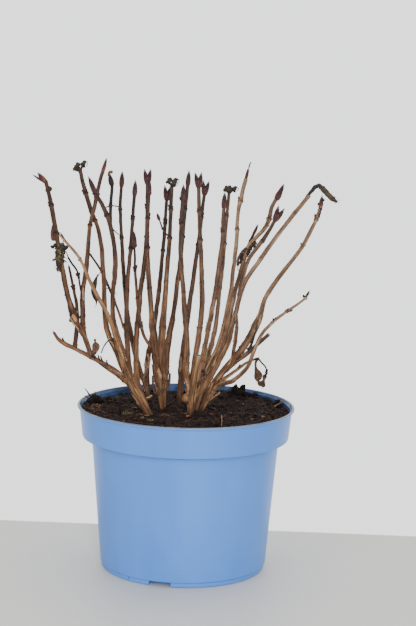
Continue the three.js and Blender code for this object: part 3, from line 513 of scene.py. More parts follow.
class Stem:
    """A limb: its centreline, its radii and tones at foot and tip, and what ends it."""

    def __init__(self, name, root, radii, crown, end, tones, bends):
        self.name = name
        self.root = root
        self.radii = radii
        self.crown = crown
        self.end = end
        self.tones = tones
        self.line = Line(bends)
        self.length = self.line.length
        self.start = 0.0
        self.prong = None
        self.side = False

    def radius(self, s):
        return mix(self.radii[0], self.radii[1], np.clip(np.asarray(s) / self.length, 0, 1))

    def old_wood(self, s):
        """How much a stretch of old wood adds to the radius, and how much darker it is."""
        s = np.atleast_1d(np.asarray(s, float))
        heights = self.line.at(s)[:, 2]
        added, darker = np.zeros_like(s), np.zeros_like(s)
        for low, high, extra, shade in OLD_WOOD.get(self.name, []):
            risen, left = (heights - low) / OLD_WOOD_FADE_IN, (high - heights) / OLD_WOOD_FADE_OUT
            within = np.clip(np.minimum(risen, left), 0, 1)
            added += within * extra
            darker += within * shade
        return added, darker

    def skin_radius(self, s):
        """The radius that shows: thinner at a crowded foot, thicker in old wood."""
        thinned = 1.0
        if self.root in FEET and self.root != "rear":
            thinned = 1 - FOOT_THINNING * np.clip(1 - np.asarray(s) / FOOT_THINNED_LENGTH, 0, 1)
        added = self.old_wood(s)[0]
        radius = self.radius(s)
        risen = np.clip(np.asarray(s) / FOOT_THINNED_LENGTH, 0, 1)
        loose = LOOSE_BARK * np.minimum(1, radius / LOOSE_BARK_FROM) * risen
        return radius * thinned + loose + (added if np.ndim(s) else float(added[0]))


def read_stems():
    stems = []
    for name, (root, radii, crown, end, tones, bends) in STEMS.items():
        foot = FEET.get(root, FORK_FOOT)
        stem = Stem(name, root, radii, crown, end, tones, [foot, *bends])
        if name in PRONGS:
            radii, end, tones, bends = PRONGS[name]
            stem.prong = Stem(name + "_prong", name, radii, 0, end, tones, bends)
        stems.append(stem)
    side_stems = [Stem(name, *row) for name, row in SIDE_STEMS.items()]
    for stem in side_stems:
        stem.side = True
    return stems, side_stems


def room_to(points, radii, other):
    """The least room between balls and another stem's skin."""
    reach = other.radius(np.arange(len(other.line.samples)) * SAMPLE_STEP)
    apart = np.linalg.norm(points[:, None] - other.line.samples[None], axis=2)
    return (apart - reach[None] - np.asarray(radii)[:, None]).min(axis=1)


def clear_length(stem, mates):
    """The length past which a stem stands clear of the stems that share its foot."""
    if stem.end == "cut":
        return stem.length
    stations = np.arange(len(stem.line.samples)) * SAMPLE_STEP
    near = np.zeros(len(stations), bool)
    for mate in mates:
        near |= room_to(stem.line.samples, stem.radius(stations), mate) < STAND_CLEAR
    return float(stations[near][-1] + SAMPLE_STEP) if near.any() else SHORTEST_STOOL


stems, side_stems = read_stems()
prongs = [stem.prong for stem in stems if stem.prong]
for stem in stems:
    mates = [mate for mate in stems if mate.root == stem.root and mate is not stem]
    if mates:
        stem.start = clear_length(stem, mates)
placed = [*stems, *side_stems, *prongs]
for stem in placed:
    stem.line.waver = WAVER if stem.length > SHORTEST_WAVERING else 0.0


class Parts:
    """The parts of one mesh, each with its points, faces, straightened place and tone."""

    def __init__(self):
        self.points, self.faces, self.grain, self.tone, self.smooth = [], [], [], [], []
        self.count = 0

    def add(self, points, faces, grain=None, tone=0.5, flat_ends=False):
        """Adds points and lists of faces. With flat ends, only the first list is shaded smooth."""
        points = np.asarray(points, float).reshape(-1, 3)
        self.points.append(points)
        for i, face in enumerate(faces):
            self.faces.append(np.asarray(face) + self.count)
            self.smooth.append(np.full(len(face), i == 0 or not flat_ends))
        self.grain.append(points if grain is None else np.asarray(grain, float).reshape(-1, 3))
        self.tone.append(np.broadcast_to(np.asarray(tone, float), (len(points),)))
        self.count += len(points)

    def build(self, name, look, slot, nodes=()):
        points = np.concatenate(self.points)
        corners = np.concatenate([face.ravel() for face in self.faces]).astype(np.int32)
        sizes = np.concatenate([np.full(len(face), face.shape[1]) for face in self.faces])
        mesh = bpy.data.meshes.new(name)
        mesh.vertices.add(len(points))
        mesh.vertices.foreach_set("co", (points * MM).ravel().astype(np.float32))
        mesh.loops.add(len(corners))
        mesh.loops.foreach_set("vertex_index", corners)
        mesh.polygons.add(len(sizes))
        mesh.polygons.foreach_set("loop_start", (np.cumsum(sizes) - sizes).astype(np.int32))
        mesh.update(calc_edges=True)
        mesh.polygons.foreach_set("use_smooth", np.concatenate(self.smooth))
        grain = mesh.attributes.new("grain", "FLOAT_VECTOR", "POINT")
        grain.data.foreach_set("vector", np.concatenate(self.grain).ravel().astype(np.float32))
        tone = mesh.attributes.new("tone", "FLOAT", "POINT")
        tone.data.foreach_set("value", np.concatenate(self.tone).astype(np.float32))
        mesh.validate()
        mesh.materials.append(look)
        piece = in_scene(name, mesh)
        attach(piece, "root")
        if nodes:
            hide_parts(*nodes)
        return piece


def ring_faces(rows, sides):
    """The quads between rings of points, and the fans that close both ends on the two last points."""
    first = np.arange(rows * sides).reshape(rows, sides)
    turned = np.roll(first, -1, axis=1)
    quads = np.stack([first[:-1], turned[:-1], turned[1:], first[1:]], axis=-1).reshape(-1, 4)
    foot, tip = rows * sides, rows * sides + 1
    foot_fan = np.stack([np.full(sides, foot), turned[0], first[0]], axis=-1)
    tip_fan = np.stack([np.full(sides, tip), first[-1], turned[-1]], axis=-1)
    return [quads, foot_fan, tip_fan]


def tube(parts, line, stations, radii, sides, relief=1, tone=0.5, offset=0.0, flat_ends=False):
    """A limb along a centreline, with a radius at each station and relief round its skin."""
    angles = circle(sides)
    plain = np.broadcast_to(np.asarray(radii, float), stations.shape)[:, None]
    ring = np.broadcast_to(plain * relief, (len(stations), sides))
    points = wrapped(line, stations, ring, angles).reshape(-1, 3)
    points = np.vstack([points, line.wavering(stations[[0, -1]])])
    along = stations[:, None] + offset
    grain = layers(plain * np.cos(angles), plain * np.sin(angles), along).reshape(-1, 3)
    grain = np.vstack([grain, [0, 0, stations[0] + offset], [0, 0, stations[-1] + offset]])
    tones = np.broadcast_to(np.asarray(tone, float), stations.shape)
    tones = np.concatenate([np.repeat(tones, sides), [tones[0], tones[-1]]])
    parts.add(points, ring_faces(len(stations), sides), grain, tones, flat_ends)


def shell(parts, grid, thickness, grain=None, tone=0.5):
    """A thin closed shell on both sides of a grid of points."""
    rows, columns, _ = grid.shape
    normal = unit(np.cross(np.gradient(grid, axis=0), np.gradient(grid, axis=1)))
    upper, lower = grid + normal * thickness / 2, grid - normal * thickness / 2
    index = np.arange(rows * columns).reshape(rows, columns)
    quads = np.stack([index[:-1, :-1], index[1:, :-1], index[1:, 1:], index[:-1, 1:]], axis=-1)
    quads = quads.reshape(-1, 4)
    under = quads[:, ::-1] + rows * columns
    loop = np.concatenate([index[:, 0], index[-1, 1:], index[-2::-1, -1], index[0, -2:0:-1]])
    after = np.roll(loop, -1)
    rim = np.stack([after, loop, loop + rows * columns, after + rows * columns], axis=-1)
    points = np.concatenate([upper.reshape(-1, 3), lower.reshape(-1, 3)])
    if grain is not None:
        grain = np.concatenate([grain.reshape(-1, 3)] * 2)
    if np.ndim(tone):
        tone = np.concatenate([np.asarray(tone, float).ravel()] * 2)
    parts.add(points, [quads, under, rim], grain, tone)


def round_ball(divisions):
    """The points and faces of a round ball of radius 1."""
    ball = bmesh.new()
    bmesh.ops.create_icosphere(ball, subdivisions=divisions, radius=1)
    points = np.array([v.co[:] for v in ball.verts])
    faces = np.array([[v.index for v in face.verts] for face in ball.faces])
    ball.free()
    return points, faces


BALLS = {divisions: round_ball(divisions) for divisions in (1, 2, 3)}


def lump(parts, place, size, seed, rough=0.35, divisions=2, tone=0.5, turn=0.0):
    """A rough lump: a ball whose skin is pushed in and out."""
    points, faces = BALLS[divisions]
    swell = 1 + rough * noise(points, 0.9, seed) + rough * 0.5 * noise(points, 0.4, seed + 1)
    shaped = points * swell[:, None] * np.asarray(size)
    c, s = math.cos(turn), math.sin(turn)
    shaped = shaped @ np.array([[c, s, 0], [-s, c, 0], [0, 0, 1]])
    shaped = shaped + np.asarray(place)
    parts.add(shaped, [faces], tone=tone)


def bark_relief(stem, stations, sides, depth, seed):
    """Lengthwise ridges that wander round the stem, and small bumps."""
    draw = seeded(seed)
    angles = circle(sides)
    total = np.zeros((len(stations), sides))
    for ridges, share in RIDGES:
        drift = 1.3 * np.sin(stations / (22 + 30 * draw()) + TAU * draw())
        total += share * np.cos(ridges * angles[None] + TAU * draw() + drift[:, None])
    groove = np.cos(angles[None] - TAU * draw() - 0.5 * np.sin(stations / 31)[:, None])
    total -= GROOVE_DEPTH * np.clip((groove - 0.86) / 0.14, 0, 1)
    radii = stem.radius(stations)[:, None]
    place = layers(radii * np.cos(angles), radii * np.sin(angles), stations[:, None] * 0.22)
    total += BARK_BUMPS * noise(place, 0.9, seed)
    uneven = 0.03 * np.sin(stations / 9 + TAU * draw()) + 0.02 * np.sin(stations / 4 + TAU * draw())
    return 1 + depth[:, None] * total + uneven[:, None]


def node_lengths(start, end):
    lengths = []
    s = end - NODE_BELOW_TIP
    while s > start + NODE_ABOVE_FOOT:
        lengths.append(s)
        s -= NODE_SPACING
    return lengths


def old_nodes(stem, crown, young):
    """The nodes of a stem below its twigs: those that show in their place, others where none do."""
    if stem.name in SEEN_NODES:
        samples = stem.line.samples
        seen = np.interp(SEEN_NODES[stem.name], samples[:, 2], np.arange(len(samples)) * SAMPLE_STEP)
        return [float(s) for s in seen if s < crown]
    draw = seeded(int(stem.length * 10))
    lowest = min([crown, *young])
    lengths = []
    s = lowest - NODE_SPACING * mix(*OLD_NODE_SPREAD, draw())
    while s > STEM_SUNK + OLD_NODE_ABOVE_FOOT:
        lengths.append(s)
        s -= NODE_SPACING * mix(*OLD_NODE_SPREAD, draw())
    return lengths


def swell_at(stations, node, height):
    """A node: a short rise to a ring and a shorter fall past it."""
    apart = stations - node
    width = np.where(apart < 0, NODE_RISE, NODE_FALL)
    return height * np.exp(-(apart / width * 1.5) ** 2)


def skin(stem, start, end, step, sides, nodes, depth, seed):
    """The stations, radii, relief and tones of a stretch of a stem."""
    count = max(3, int(round((end - start) / step)) + 1)
    stations = np.linspace(start, end, count)
    swell = np.zeros(count)
    tones = mix(stem.tones[0], stem.tones[1], np.clip(stations / stem.length, 0, 1))
    tones = tones + stem.old_wood(stations)[1]
    for node, height in nodes:
        swell += swell_at(stations, node, height)
        strength = OLD_NODE_SHADE if height == OLD_NODE_SWELL else 1.0
        for shade, past, width in (NODE_RING, NODE_FOOT):
            tones = tones + strength * shade * np.exp(-((stations - node - past) / width) ** 2)
    # Darker near the compost: damp, and painted shade at the crowded feet.
    if stem.root in FEET:
        heights = stem.line.at(stations)[:, 2]
        tones = tones + DAMP_AND_SHADE_TONE * np.clip((SOIL_TOP + DAMP_AND_SHADE_HEIGHT - heights) / DAMP_AND_SHADE_HEIGHT, 0, 1)
    age = mix(1.0, 0.4, np.clip(stations / stem.length, 0, 1)) + 0.5 * stem.old_wood(stations)[0]
    relief = bark_relief(stem, stations, sides, depth * age, seed)
    return stations, stem.skin_radius(stations) * (1 + swell), relief, tones


def grow_bark(parts, stem, start, end, nodes, seed, step, sides, depth):
    stations, radii, relief, tones = skin(stem, start, end, step, sides, nodes, depth, seed)
    tube(parts, stem.line, stations, radii, sides, relief, tones, offset=seed * 37.0, flat_ends=True)


def out_from(stem, s, turn, rise):
    """A direction that leaves a stem sideways, turned about it and tipped towards its tip."""
    tangent = stem.line.tangent(s)[0]
    across = square_to(tangent, np.array([1.0, 0, 0]))
    side = across * math.cos(turn) + np.cross(tangent, across) * math.sin(turn)
    return side * math.cos(rise) + tangent * math.sin(rise)


def bud_line(foot, direction, length):
    along = unit(np.asarray(direction, float)) * length
    tip = foot + along + np.array([0, 0, length * BUD_LIFT])
    return Line([foot, foot + along / 2, tip])


def bud_scale(parts, line, turn, radius, shape, tone, reach, wrap, lift, grid=(18, 9)):
    """One folded scale of a bud: a keeled blade that wraps the core and ends in a point."""
    rows, columns = grid
    t = np.linspace(0, 1, rows)
    wide = wrap * np.clip(1.12 - t**2.2, 0.04, 1) * np.minimum(1, 0.55 + t * 2.2)
    side = np.linspace(-1, 1, columns)
    angles = turn + wide[:, None] * side[None]
    core = np.interp(t * reach, shape[0], shape[1]) * radius
    keel = 0.16 * np.exp(-((side / 0.16) ** 2)) - 0.05 * np.abs(side) ** 3
    ring = core[:, None] * (1 + lift + keel[None]) + 0.12 + 0.5 * lift * radius * t[:, None] ** 3
    grain = layers(angles * radius, turn * 7.0, t[:, None] * line.length)
    tones = np.clip(tone + 0.35 * t[:, None] - 0.25 * np.abs(side[None]) ** 2, 0, 1)
    shell(parts, wrapped(line, t * line.length * reach, ring, angles), SCALE_THICKNESS, grain, tones)


# The thickness of a bud along its length, in shares of both, and how far its scales reach along it, wrap
# round it and lift off it.
BUD_SHAPE = (0, 0.1, 0.3, 0.5, 0.65, 0.85, 1.0), (0.5, 0.8, 0.92, 0.82, 0.64, 0.32, 0.06)
SMALL_BUD_SHAPE = (0, 0.4, 0.75, 1), (0.75, 1, 0.55, 0.1)
SMALL_CORE_SHAPE = (0, 0.4, 0.75, 1), (0.75, 1, 0.55, 0.08)
INNER_SCALES = {"reach": 0.99, "wrap": 1.15, "lift": 0.0}
OUTER_SCALES = {"reach": 0.9, "wrap": 1.2, "lift": 0.1}
SMALL_SCALES = {"reach": 0.85, "wrap": 1.1, "lift": 0.06, "grid": (12, 7)}


def grow_bud(parts, foot, direction, length, radius, turn=0.0, tone=0.5):
    """A pointed bud: a core, a pair of outer scales and a pair of inner ones set a quarter round."""
    line = bud_line(np.asarray(foot, float), direction, length)
    radius = radius * BUD_SLIMNESS
    t = np.linspace(0, 1, 16)
    core = np.interp(t, *BUD_SHAPE) * radius * 0.9
    tube(parts, line, t * line.length, core, 12, tone=tone + 0.3 * t)
    for half in HALVES:
        bud_scale(parts, line, turn + math.pi / 2 + half, radius, BUD_SHAPE, tone, **INNER_SCALES)
        bud_scale(parts, line, turn + half, radius, BUD_SHAPE, tone - 0.1, **OUTER_SCALES)


def grow_small_bud(parts, foot, direction, length, radius, turn, tone):
    """A side bud: a core and one pair of scales."""
    line = bud_line(np.asarray(foot, float), direction, length)
    t = np.linspace(0, 1, 9)
    core = np.interp(t, *SMALL_CORE_SHAPE) * radius * 0.92
    tube(parts, line, t * line.length, core, 8, tone=tone + 0.3 * t)
    for half in HALVES:
        bud_scale(parts, line, turn + half, radius, SMALL_BUD_SHAPE, tone - 0.15, **SMALL_SCALES)


def grow_bud_pair(parts, stem, s, turn, size=1.0):
    """Two small buds at a node, of uneven size and pressed to the stem."""
    foot = stem.line.wavering(s)[0]
    draw = seeded(int(s * 173 + stem.length * 59))
    for half in HALVES:
        draw()
        share = size * mix(*SIDE_BUD_SIZES, draw())
        direction = out_from(stem, s, turn + half, mix(*SIDE_BUD_TIP, draw()))
        start = foot + direction * stem.radius(s) * 0.6
        grow_small_bud(parts, start, direction, SIDE_BUD_LENGTH * share, SIDE_BUD_RADIUS * share, turn,
                       tone=mix(0.15, 0.75, stem.tones[1]))


def grow_scars(parts, stem, s, turn, swell):
    """The two pale shields that fallen leaves left below a pair of buds."""
    t = np.linspace(0, 1, 6)
    side = np.linspace(-1, 1, 7)
    stations = s - SCAR_BELOW_NODE + SCAR_LENGTH * t
    radii = stem.radius(stations) * (1 + swell * np.exp(-((stations - s) / NODE_RISE * 1.5) ** 2))
    ring = radii[:, None] + 0.22 - 0.1 * np.exp(-((side[None]) / 0.5) ** 2)
    for half in HALVES:
        angles = turn + half + SCAR_HALF_TURN * np.sqrt(np.clip(t, 0.05, 1))[:, None] * side[None]
        shell(parts, wrapped(stem.line, stations, ring, angles), SCAR_THICKNESS, tone=0.5)


def blade(parts, bends, width, seed, curl=0.9, thickness=0.28, tone=0.5, rows=22, columns=11,
          shape=((0, 0.3, 0.7, 1), (0.18, 0.9, 1, 0.1)), face=(0.0, 1.0, 0.0), crumple=0.12):
    """A dried blade along a short bent line, its sides curled up and its face crumpled."""
    line = Line(bends)
    t = np.linspace(0, 1, rows)
    stations = t * line.length
    centres = line.at(stations)
    tangents = line.tangent(stations)
    facing = np.array([square_to(tangent, np.array(face, float)) for tangent in tangents])
    beside = np.cross(tangents, facing)
    half = np.interp(t, *shape) * width / 2
    side = np.linspace(-1, 1, columns)
    bend = curl * side[None] * (0.75 + 0.5 * np.sin(t * 5 + seed))[:, None]
    out = half[:, None] * np.sin(bend) / max(curl, 0.3)
    fold = half[:, None] * (1 - np.cos(bend)) / max(curl, 0.3)
    points = centres[:, None] + out[..., None] * beside[:, None] + fold[..., None] * facing[:, None]
    push = noise(points, width * 0.28, seed) * width * crumple
    push = push + noise(points, width * 0.12, seed + 5) * width * crumple * 0.4
    edge = np.minimum(1, half[:, None] / (0.2 * width + 1e-6))
    points = points + (push * edge)[..., None] * facing[:, None]
    shell(parts, points, thickness, layers(side[None] * 3.0, seed, stations[:, None]), tone)


def strand(parts, bends, radius, tone=0.5, sides=7, tip=0.5, step=1.2):
    """A thin stalk or fibre."""
    line = Line(bends)
    count = max(4, int(line.length / step))
    t = np.linspace(0, 1, count)
    wobble = 1 + 0.12 * noise(layers(t * 9, 0.0, radius * 50), 1.0, 3)
    tube(parts, line, t * line.length, mix(radius, radius * tip, t) * wobble, sides, tone=tone)


def husk(parts, place, size, seed, tone=0.4):
    """A dried floret or bract: a small crumpled ball."""
    lump(parts, place, (size, size * 0.85, size), seed, rough=0.5, divisions=2, tone=tone)


stool_bark, bough_bark, twig_wood = Parts(), Parts(), Parts()
buds, scars, dried, husks, cuts, strips = Parts(), Parts(), Parts(), Parts(), Parts(), Parts()


# Each function that follows and whose name starts with end_ is one way to end a stem. All of them take
# the stem and its run of random numbers.
# The buds that stand at a tip: their direction (None is the stem's own), their length and radius in
# shares of the usual, their tone, and the turn of the pair of small buds below them.
TIP_BUDS = {
    "bud": (None, 1, 1, 0.5, 0.4),
    "slim": (None, 0.8, 0.6, 0.5, None),
    "tall": ((-0.42, 0, 0.91), 1.2, 1, 0.6, 0.4),
    "slender": (None, 1.05, 0.72, 0.25, 0.7),
}


def tip_foot(stem, sunk=BUD_SUNK):
    return stem.line.at(stem.length - sunk)[0]


def tip_bud(stem, foot, direction=None, length=1, radius=1, tone=0.5, turn=0.0):
    if direction is None:
        direction = stem.line.tangent(stem.length)[0]
    grow_bud(buds, foot, direction, BUD_LENGTH * length, BUD_RADIUS * radius, turn, tone)


def end_tip_bud(stem, draw):
    direction, length, radius, tone, pair_turn = TIP_BUDS[stem.end]
    tip_bud(stem, tip_foot(stem), direction, length, radius, tone)
    if pair_turn:
        grow_bud_pair(buds, stem, stem.length - 1.5, pair_turn)


def end_pair(stem, draw):
    """Two buds side by side."""
    for half in HALVES:
        tip_bud(stem, tip_foot(stem), out_from(stem, stem.length, half, PAIR_RISE), turn=half)


def end_twin(stem, draw):
    """A large bud and a thin one that lean over to the left."""
    foot = tip_foot(stem, 2 * BUD_SUNK)
    tip_bud(stem, foot, (-0.68, 0.05, 0.7), 0.8, 1, 0.2)
    tip_bud(stem, foot, (-0.86, -0.2, 0.45), 0.95, 0.5, 0.5)


def end_curl(stem, draw):
    """A blackened bud whose tip curls over to one side."""
    foot = tip_foot(stem)
    tip_bud(stem, foot, (-0.25, 0, 1), 0.78, 1.05, 0.95)
    grow_bud_pair(buds, stem, stem.length - 2 * BUD_SUNK, 1.2)
    tip = foot + np.array([-3.2, 0, 14.5])
    curl = [tip + step for step in ((-0.4, 0, -4), (0, 0, 0), (1.4, 0, 1.0), (3.0, 0, -0.6))]
    strand(dried, curl, 1.5, tone=0.45, tip=0.8)
    lump(dried, tip + (2.2, 0, 0.2), (1.9, 1.3, 1.6), 48, rough=0.4, divisions=3, tone=0.55)


def end_hook(stem, draw):
    """A swollen node and a thin black bud that stands up from it."""
    foot = tip_foot(stem)
    lump(twig_wood, tip_foot(stem, 0.6), (2.3, 2.0, 1.9), 31, rough=0.2, divisions=3, tone=0.15)
    tip_bud(stem, foot, (0.44, -0.1, 0.9), 0.55, 0.4, 1.0)
    tip = foot + np.array([4.2, -1, 5.5])
    strand(dried, [foot, mix(foot, tip, 0.6), tip, tip + (1.1, 0, 3.2)], 0.6, tone=0.0, tip=0.4)


def end_capped(stem, draw):
    """A long reddish bud that sheathes the tip, above a dark joint."""
    foot = tip_foot(stem, CAP_BELOW_TIP)
    tangent = stem.line.tangent(stem.length - CAP_BELOW_TIP)[0]
    tip_bud(stem, foot, (0.12, 0, 1), 0.8, 0.88, 0.4)
    for k, apart in enumerate((-6.5, -4.5, -2.5, -0.5, 1.0)):
        lump(twig_wood, foot + tangent * apart, (2.1, 2.0, 2.8), 40 + k, rough=0.15, divisions=3, tone=0.8)
    lump(husks, foot + (1.6, 0, 9.0), (1.2, 1.1, 1.8), 47, rough=0.4, tone=0.2)


def end_flower(stem, draw):
    """The remains of a flower head: short stalks, dark dried husks and a curled scrap."""
    s = stem.length
    foot = tip_foot(stem)
    loop = ((0.8, 0.2, 1.2), (2.8, 0.3, 2.2), (4.4, 0.3, 0.6), (4.2, 0.2, -1.8), (2.9, 0, -2.6))
    for stalk in range(3):
        direction = out_from(stem, s, stalk * 2.1 + draw(), 0.55 + draw() * 0.6)
        tip = foot + direction * (4.6 + draw() * 3)
        strand(dried, between(foot, tip), 1.35, tone=0.15, tip=0.8)
        for k in range(13):
            spread = np.array([math.cos(k * 2.4), math.sin(k * 2.4), 0.9 * (k % 3 - 1)])
            place = tip + direction * (k * 0.2) + spread * 1.6
            seed = int(s * 7) + stalk * 11 + k
            husk(husks, place, 1.4 + 0.3 * (k % 3), seed, tone=0.08 + 0.13 * (k % 4))
        curl = tip + direction * 2
        strand(dried, [tip, *[curl + step for step in loop]], 0.5, tone=0.1, tip=0.7)


def end_leaves(stem, draw):
    """Two withered leaves that hang from the end of a dead shoot, one of them from a long arched stalk."""
    foot = tip_foot(stem)
    near = ((0, 0, 0), (-2.5, -1, -5), (-2, -1, -11), (0.5, -1.5, -18), (-0.3, -2, -25.5))
    near_shape = ((0, 0.14, 0.28, 0.5, 0.72, 0.9, 1), (0.25, 0.5, 0.8, 1, 0.95, 0.6, 0.12))
    blade(dried, foot + near, 11.5, 3, curl=0.8, shape=near_shape, tone=0.5, rows=40, columns=21, crumple=0.2)
    arch = ((0, 0, 0), (3.5, 0, -4.5), (8.5, 0, -10), (9.6, 0, -17), (8, 0, -19.5))
    strand(dried, foot + arch, 0.95, tone=0.12, tip=0.9)
    far = ((8, 0, -18.5), (6.3, -1, -25), (3.2, -1, -30.5))
    far_shape = ((0, 0.25, 0.6, 0.85, 1), (0.4, 0.85, 1, 0.9, 0.5))
    blade(dried, foot + far, 12.5, 9, curl=0.9, shape=far_shape, tone=0.45, rows=32, columns=21, crumple=0.22)
    knots = ((9.6, 0, -13), (9.2, -0.5, -15.5), (8.4, -1, -18), (-2.5, -0.8, -1), (-0.5, -0.5, -1))
    for k, place in enumerate(foot + knots):
        husk(husks, place, 1.6, 50 + k, tone=0.08)


def end_withered(stem, draw):
    """The arching shoot's dead end: a dark joint, a thin neck and a ragged, drooping, olive-black rag."""
    line = Line(WITHERED_ARCH)
    s = line.length
    for k in range(2):
        lump(husks, line.at(1.6 * k)[0], (2.2, 2.1, 1.5), 60 + k, rough=0.3, tone=0.05)
    stations, sides = np.linspace(0, s, 90), 20
    radii = np.interp(stations - s, (-44, -34, -28, -24, -18, -12, -7, -3, 0),
                      (2.1, 2.0, 2.1, 2.5, 2.9, 2.5, 2.7, 2.0, 0.7))
    angles = np.broadcast_to(circle(sides), (len(stations), sides))
    place = layers(np.cos(angles) * 3, np.sin(angles) * 3, stations[:, None])
    relief = 1 + 0.3 * noise(place, 2.4, 8) + 0.18 * noise(place, 1.1, 9)
    tone = 0.16 + 0.3 * np.clip((stations - s + 30) / 10, 0, 1) + 0.12 * noise(place[:, 0], 4.0, 5)
    tube(husks, line, stations, radii, sides, relief, tone=tone)
    rag = seeded(RAG_SEED)
    for k in range(RAG_SCRAPS):
        at = s - WITHERED_LENGTH * rag()
        tangent = line.tangent(at)[0]
        side = unit(any_way(rag) + 1e-3)
        out = square_to(tangent, side)
        start = line.at(at)[0] + out * 1.6
        tip = start + out * mix(0.6, 2.2, rag()) + tangent * mix(0.5, 4, rag())
        if k % 3:
            strand(dried, between(start, tip), 0.42, tone=0.15, tip=0.4)
        else:
            blade(dried, between(start, tip), 2.6, 90 + k, tone=0.3, rows=8, columns=5)


def end_thin(stem, draw):
    """A thin dead tip that runs out in a point."""
    tangent = stem.line.tangent(stem.length)[0]
    foot = tip_foot(stem, 1)
    bends = [foot, foot + tangent * 1.6, foot + tangent * 3.2]
    strand(dried, bends, stem.radii[1] * 0.85, tone=0.1, tip=0.35)


ENDS = {
    "thin": end_thin,
    "withered": end_withered,
    "curl": end_curl,
    "capped": end_capped,
    "pair": end_pair,
    "twin": end_twin,
    "hook": end_hook,
    "flower": end_flower,
    "leaves": end_leaves,
    **dict.fromkeys(TIP_BUDS, end_tip_bud),
}


def side_twig(stem, s, turn, length, seed):
    """A side twig that leaves a node and ends in a small bud, if it stays clear of every other stem."""
    foot = stem.line.at(s)[0]
    out = out_from(stem, s, turn, TWIG_TIP)
    halfway, beyond, upturn = TWIG_BENDS
    middle = foot + out * length * halfway
    tip = middle + out * length * beyond + np.array([0, 0, length * upturn])
    twig = Stem("twig", stem.name, TWIG_RADIUS, 0, "bud", (stem.tones[1], 0.9), [foot, middle, tip])
    past = twig.length + np.arange(SAMPLE_STEP, TWIG_BUD_LENGTH + 0.1, SAMPLE_STEP)
    twig.line.samples = np.vstack([twig.line.samples, twig.line.at(past)])
    radii = twig.radius(np.arange(len(twig.line.samples)) * SAMPLE_STEP)
    for other in placed:
        if other is not stem and room_to(twig.line.samples, radii, other).min() <= GAP * 2:
            return
    placed.append(twig)
    node = twig.length * 0.5
    stations, radii, relief, tones = skin(twig, 0, twig.length, 0.9, 10, [(node, 0.35)], 0.05, seed)
    tube(twig_wood, twig.line, stations, radii, 10, relief, tones, offset=seed * 11.0)
    grow_bud_pair(buds, twig, node, turn, 0.55)
    grow_bud(buds, tip_foot(twig), twig.line.tangent(twig.length)[0], TWIG_BUD_LENGTH, TWIG_BUD_RADIUS)


def dried_clump(stem, s, draw):
    """The crusted tangle of dried stalks, scraps and lichen that clings round the outer fork."""
    foot = stem.line.at(s)[0]
    for i in range(CLUMP_SCRAPS):
        start = stem.line.at(s + (i - CLUMP_SCRAPS / 2) * CLUMP_SPACING)[0]
        direction = out_from(stem, s, i * 2.4 + draw(), -0.5 + draw() * 1.4)
        middle = start + direction * 4
        tip = middle + direction * (3 + draw() * 3)
        tip[2] -= 2 + draw() * 5
        blade(dried, [start, middle, tip], 4 + draw() * 2, 20 + i, tone=0.3)
    crumb = seeded(CLUMP_SEED)
    for k in range(CLUMP_HUSKS):
        t = (k + 0.5) / CLUMP_HUSKS
        centre = foot + (0.4 - 1.4 * t, 0, 13.5 - 29 * t)
        angle = k * GOLDEN_TURN
        reach = np.interp(t, (0, 0.12, 0.35, 0.7, 1), (2.4, 4.0, 4.2, 2.8, 1.6)) * mix(0.65, 1.2, crumb())
        out = np.array([math.cos(angle), math.sin(angle), 0]) * reach
        skin_at = centre + out
        husk(husks, skin_at, mix(0.7, 1.45, crumb()), 200 + k, tone=mix(0.05, 0.95, crumb() ** 1.3))
        if k % 6 == 0:
            lean = out / reach + (0, 0, mix(-1.4, 0.9, crumb()))
            bends = [centre + out * 0.8, skin_at + lean * 1.4, skin_at + lean * mix(2, 3.4, crumb())]
            strand(dried, bends, 0.4, tone=0.35 * crumb(), tip=0.5)
    for side, height in CLUMP_KNOBS:
        knob = foot + (side * 6.0, 0.5, height)
        for k in range(5):
            apart = any_way(crumb) * 3.6
            lump(husks, knob + apart, (2.0, 1.8, 1.7), 620 + side * 9 + k, rough=0.4, tone=0.02 + 0.05 * k)
        strand(dried, [foot + (0, 0, height - 2), mix(foot + (0, 0, height - 1), knob, 0.6), knob], 1.3,
               tone=0.1, tip=0.8)


def grow_top(stem, start, seed, wood_start):
    """A mass of twigs: the noded axis, its buds and side twigs, and what ends it."""
    draw = seeded(seed)
    nodes = node_lengths(start, stem.length)
    wood_end = stem.length - BARE_BELOW_TIP.get(stem.end, 0)
    grow_bark(twig_wood, stem, wood_start, wood_end, [(s, NODE_SWELL) for s in nodes], seed, **YOUNG_BARK)
    for i, s in enumerate(nodes):
        turn = (i % 2) * (math.pi / 2) + draw() * TURN_SPREAD
        wanted = draw() < TWIG_CHANCE and i > 0 and not stem.side
        length = mix(*TWIG_LENGTH, draw())
        grow_bud_pair(buds, stem, s, turn, 1.0 if i == 0 else 0.8)
        grow_scars(scars, stem, s, turn, NODE_SWELL)
        if wanted:
            side_twig(stem, s, turn + TWIG_TURN, length, seed + i)
    if stem.prong:
        prong = stem.prong
        grow_bark(twig_wood, prong, 0, prong.length, [(prong.length * 0.5, 0.3)], seed + 3, **PRONG_BARK)
        ENDS[prong.end](prong, draw)
    if stem.name == "fork_outer":
        dried_clump(stem, start + CLUMP_ABOVE_CROWN, draw)
    ENDS[stem.end](stem, draw)


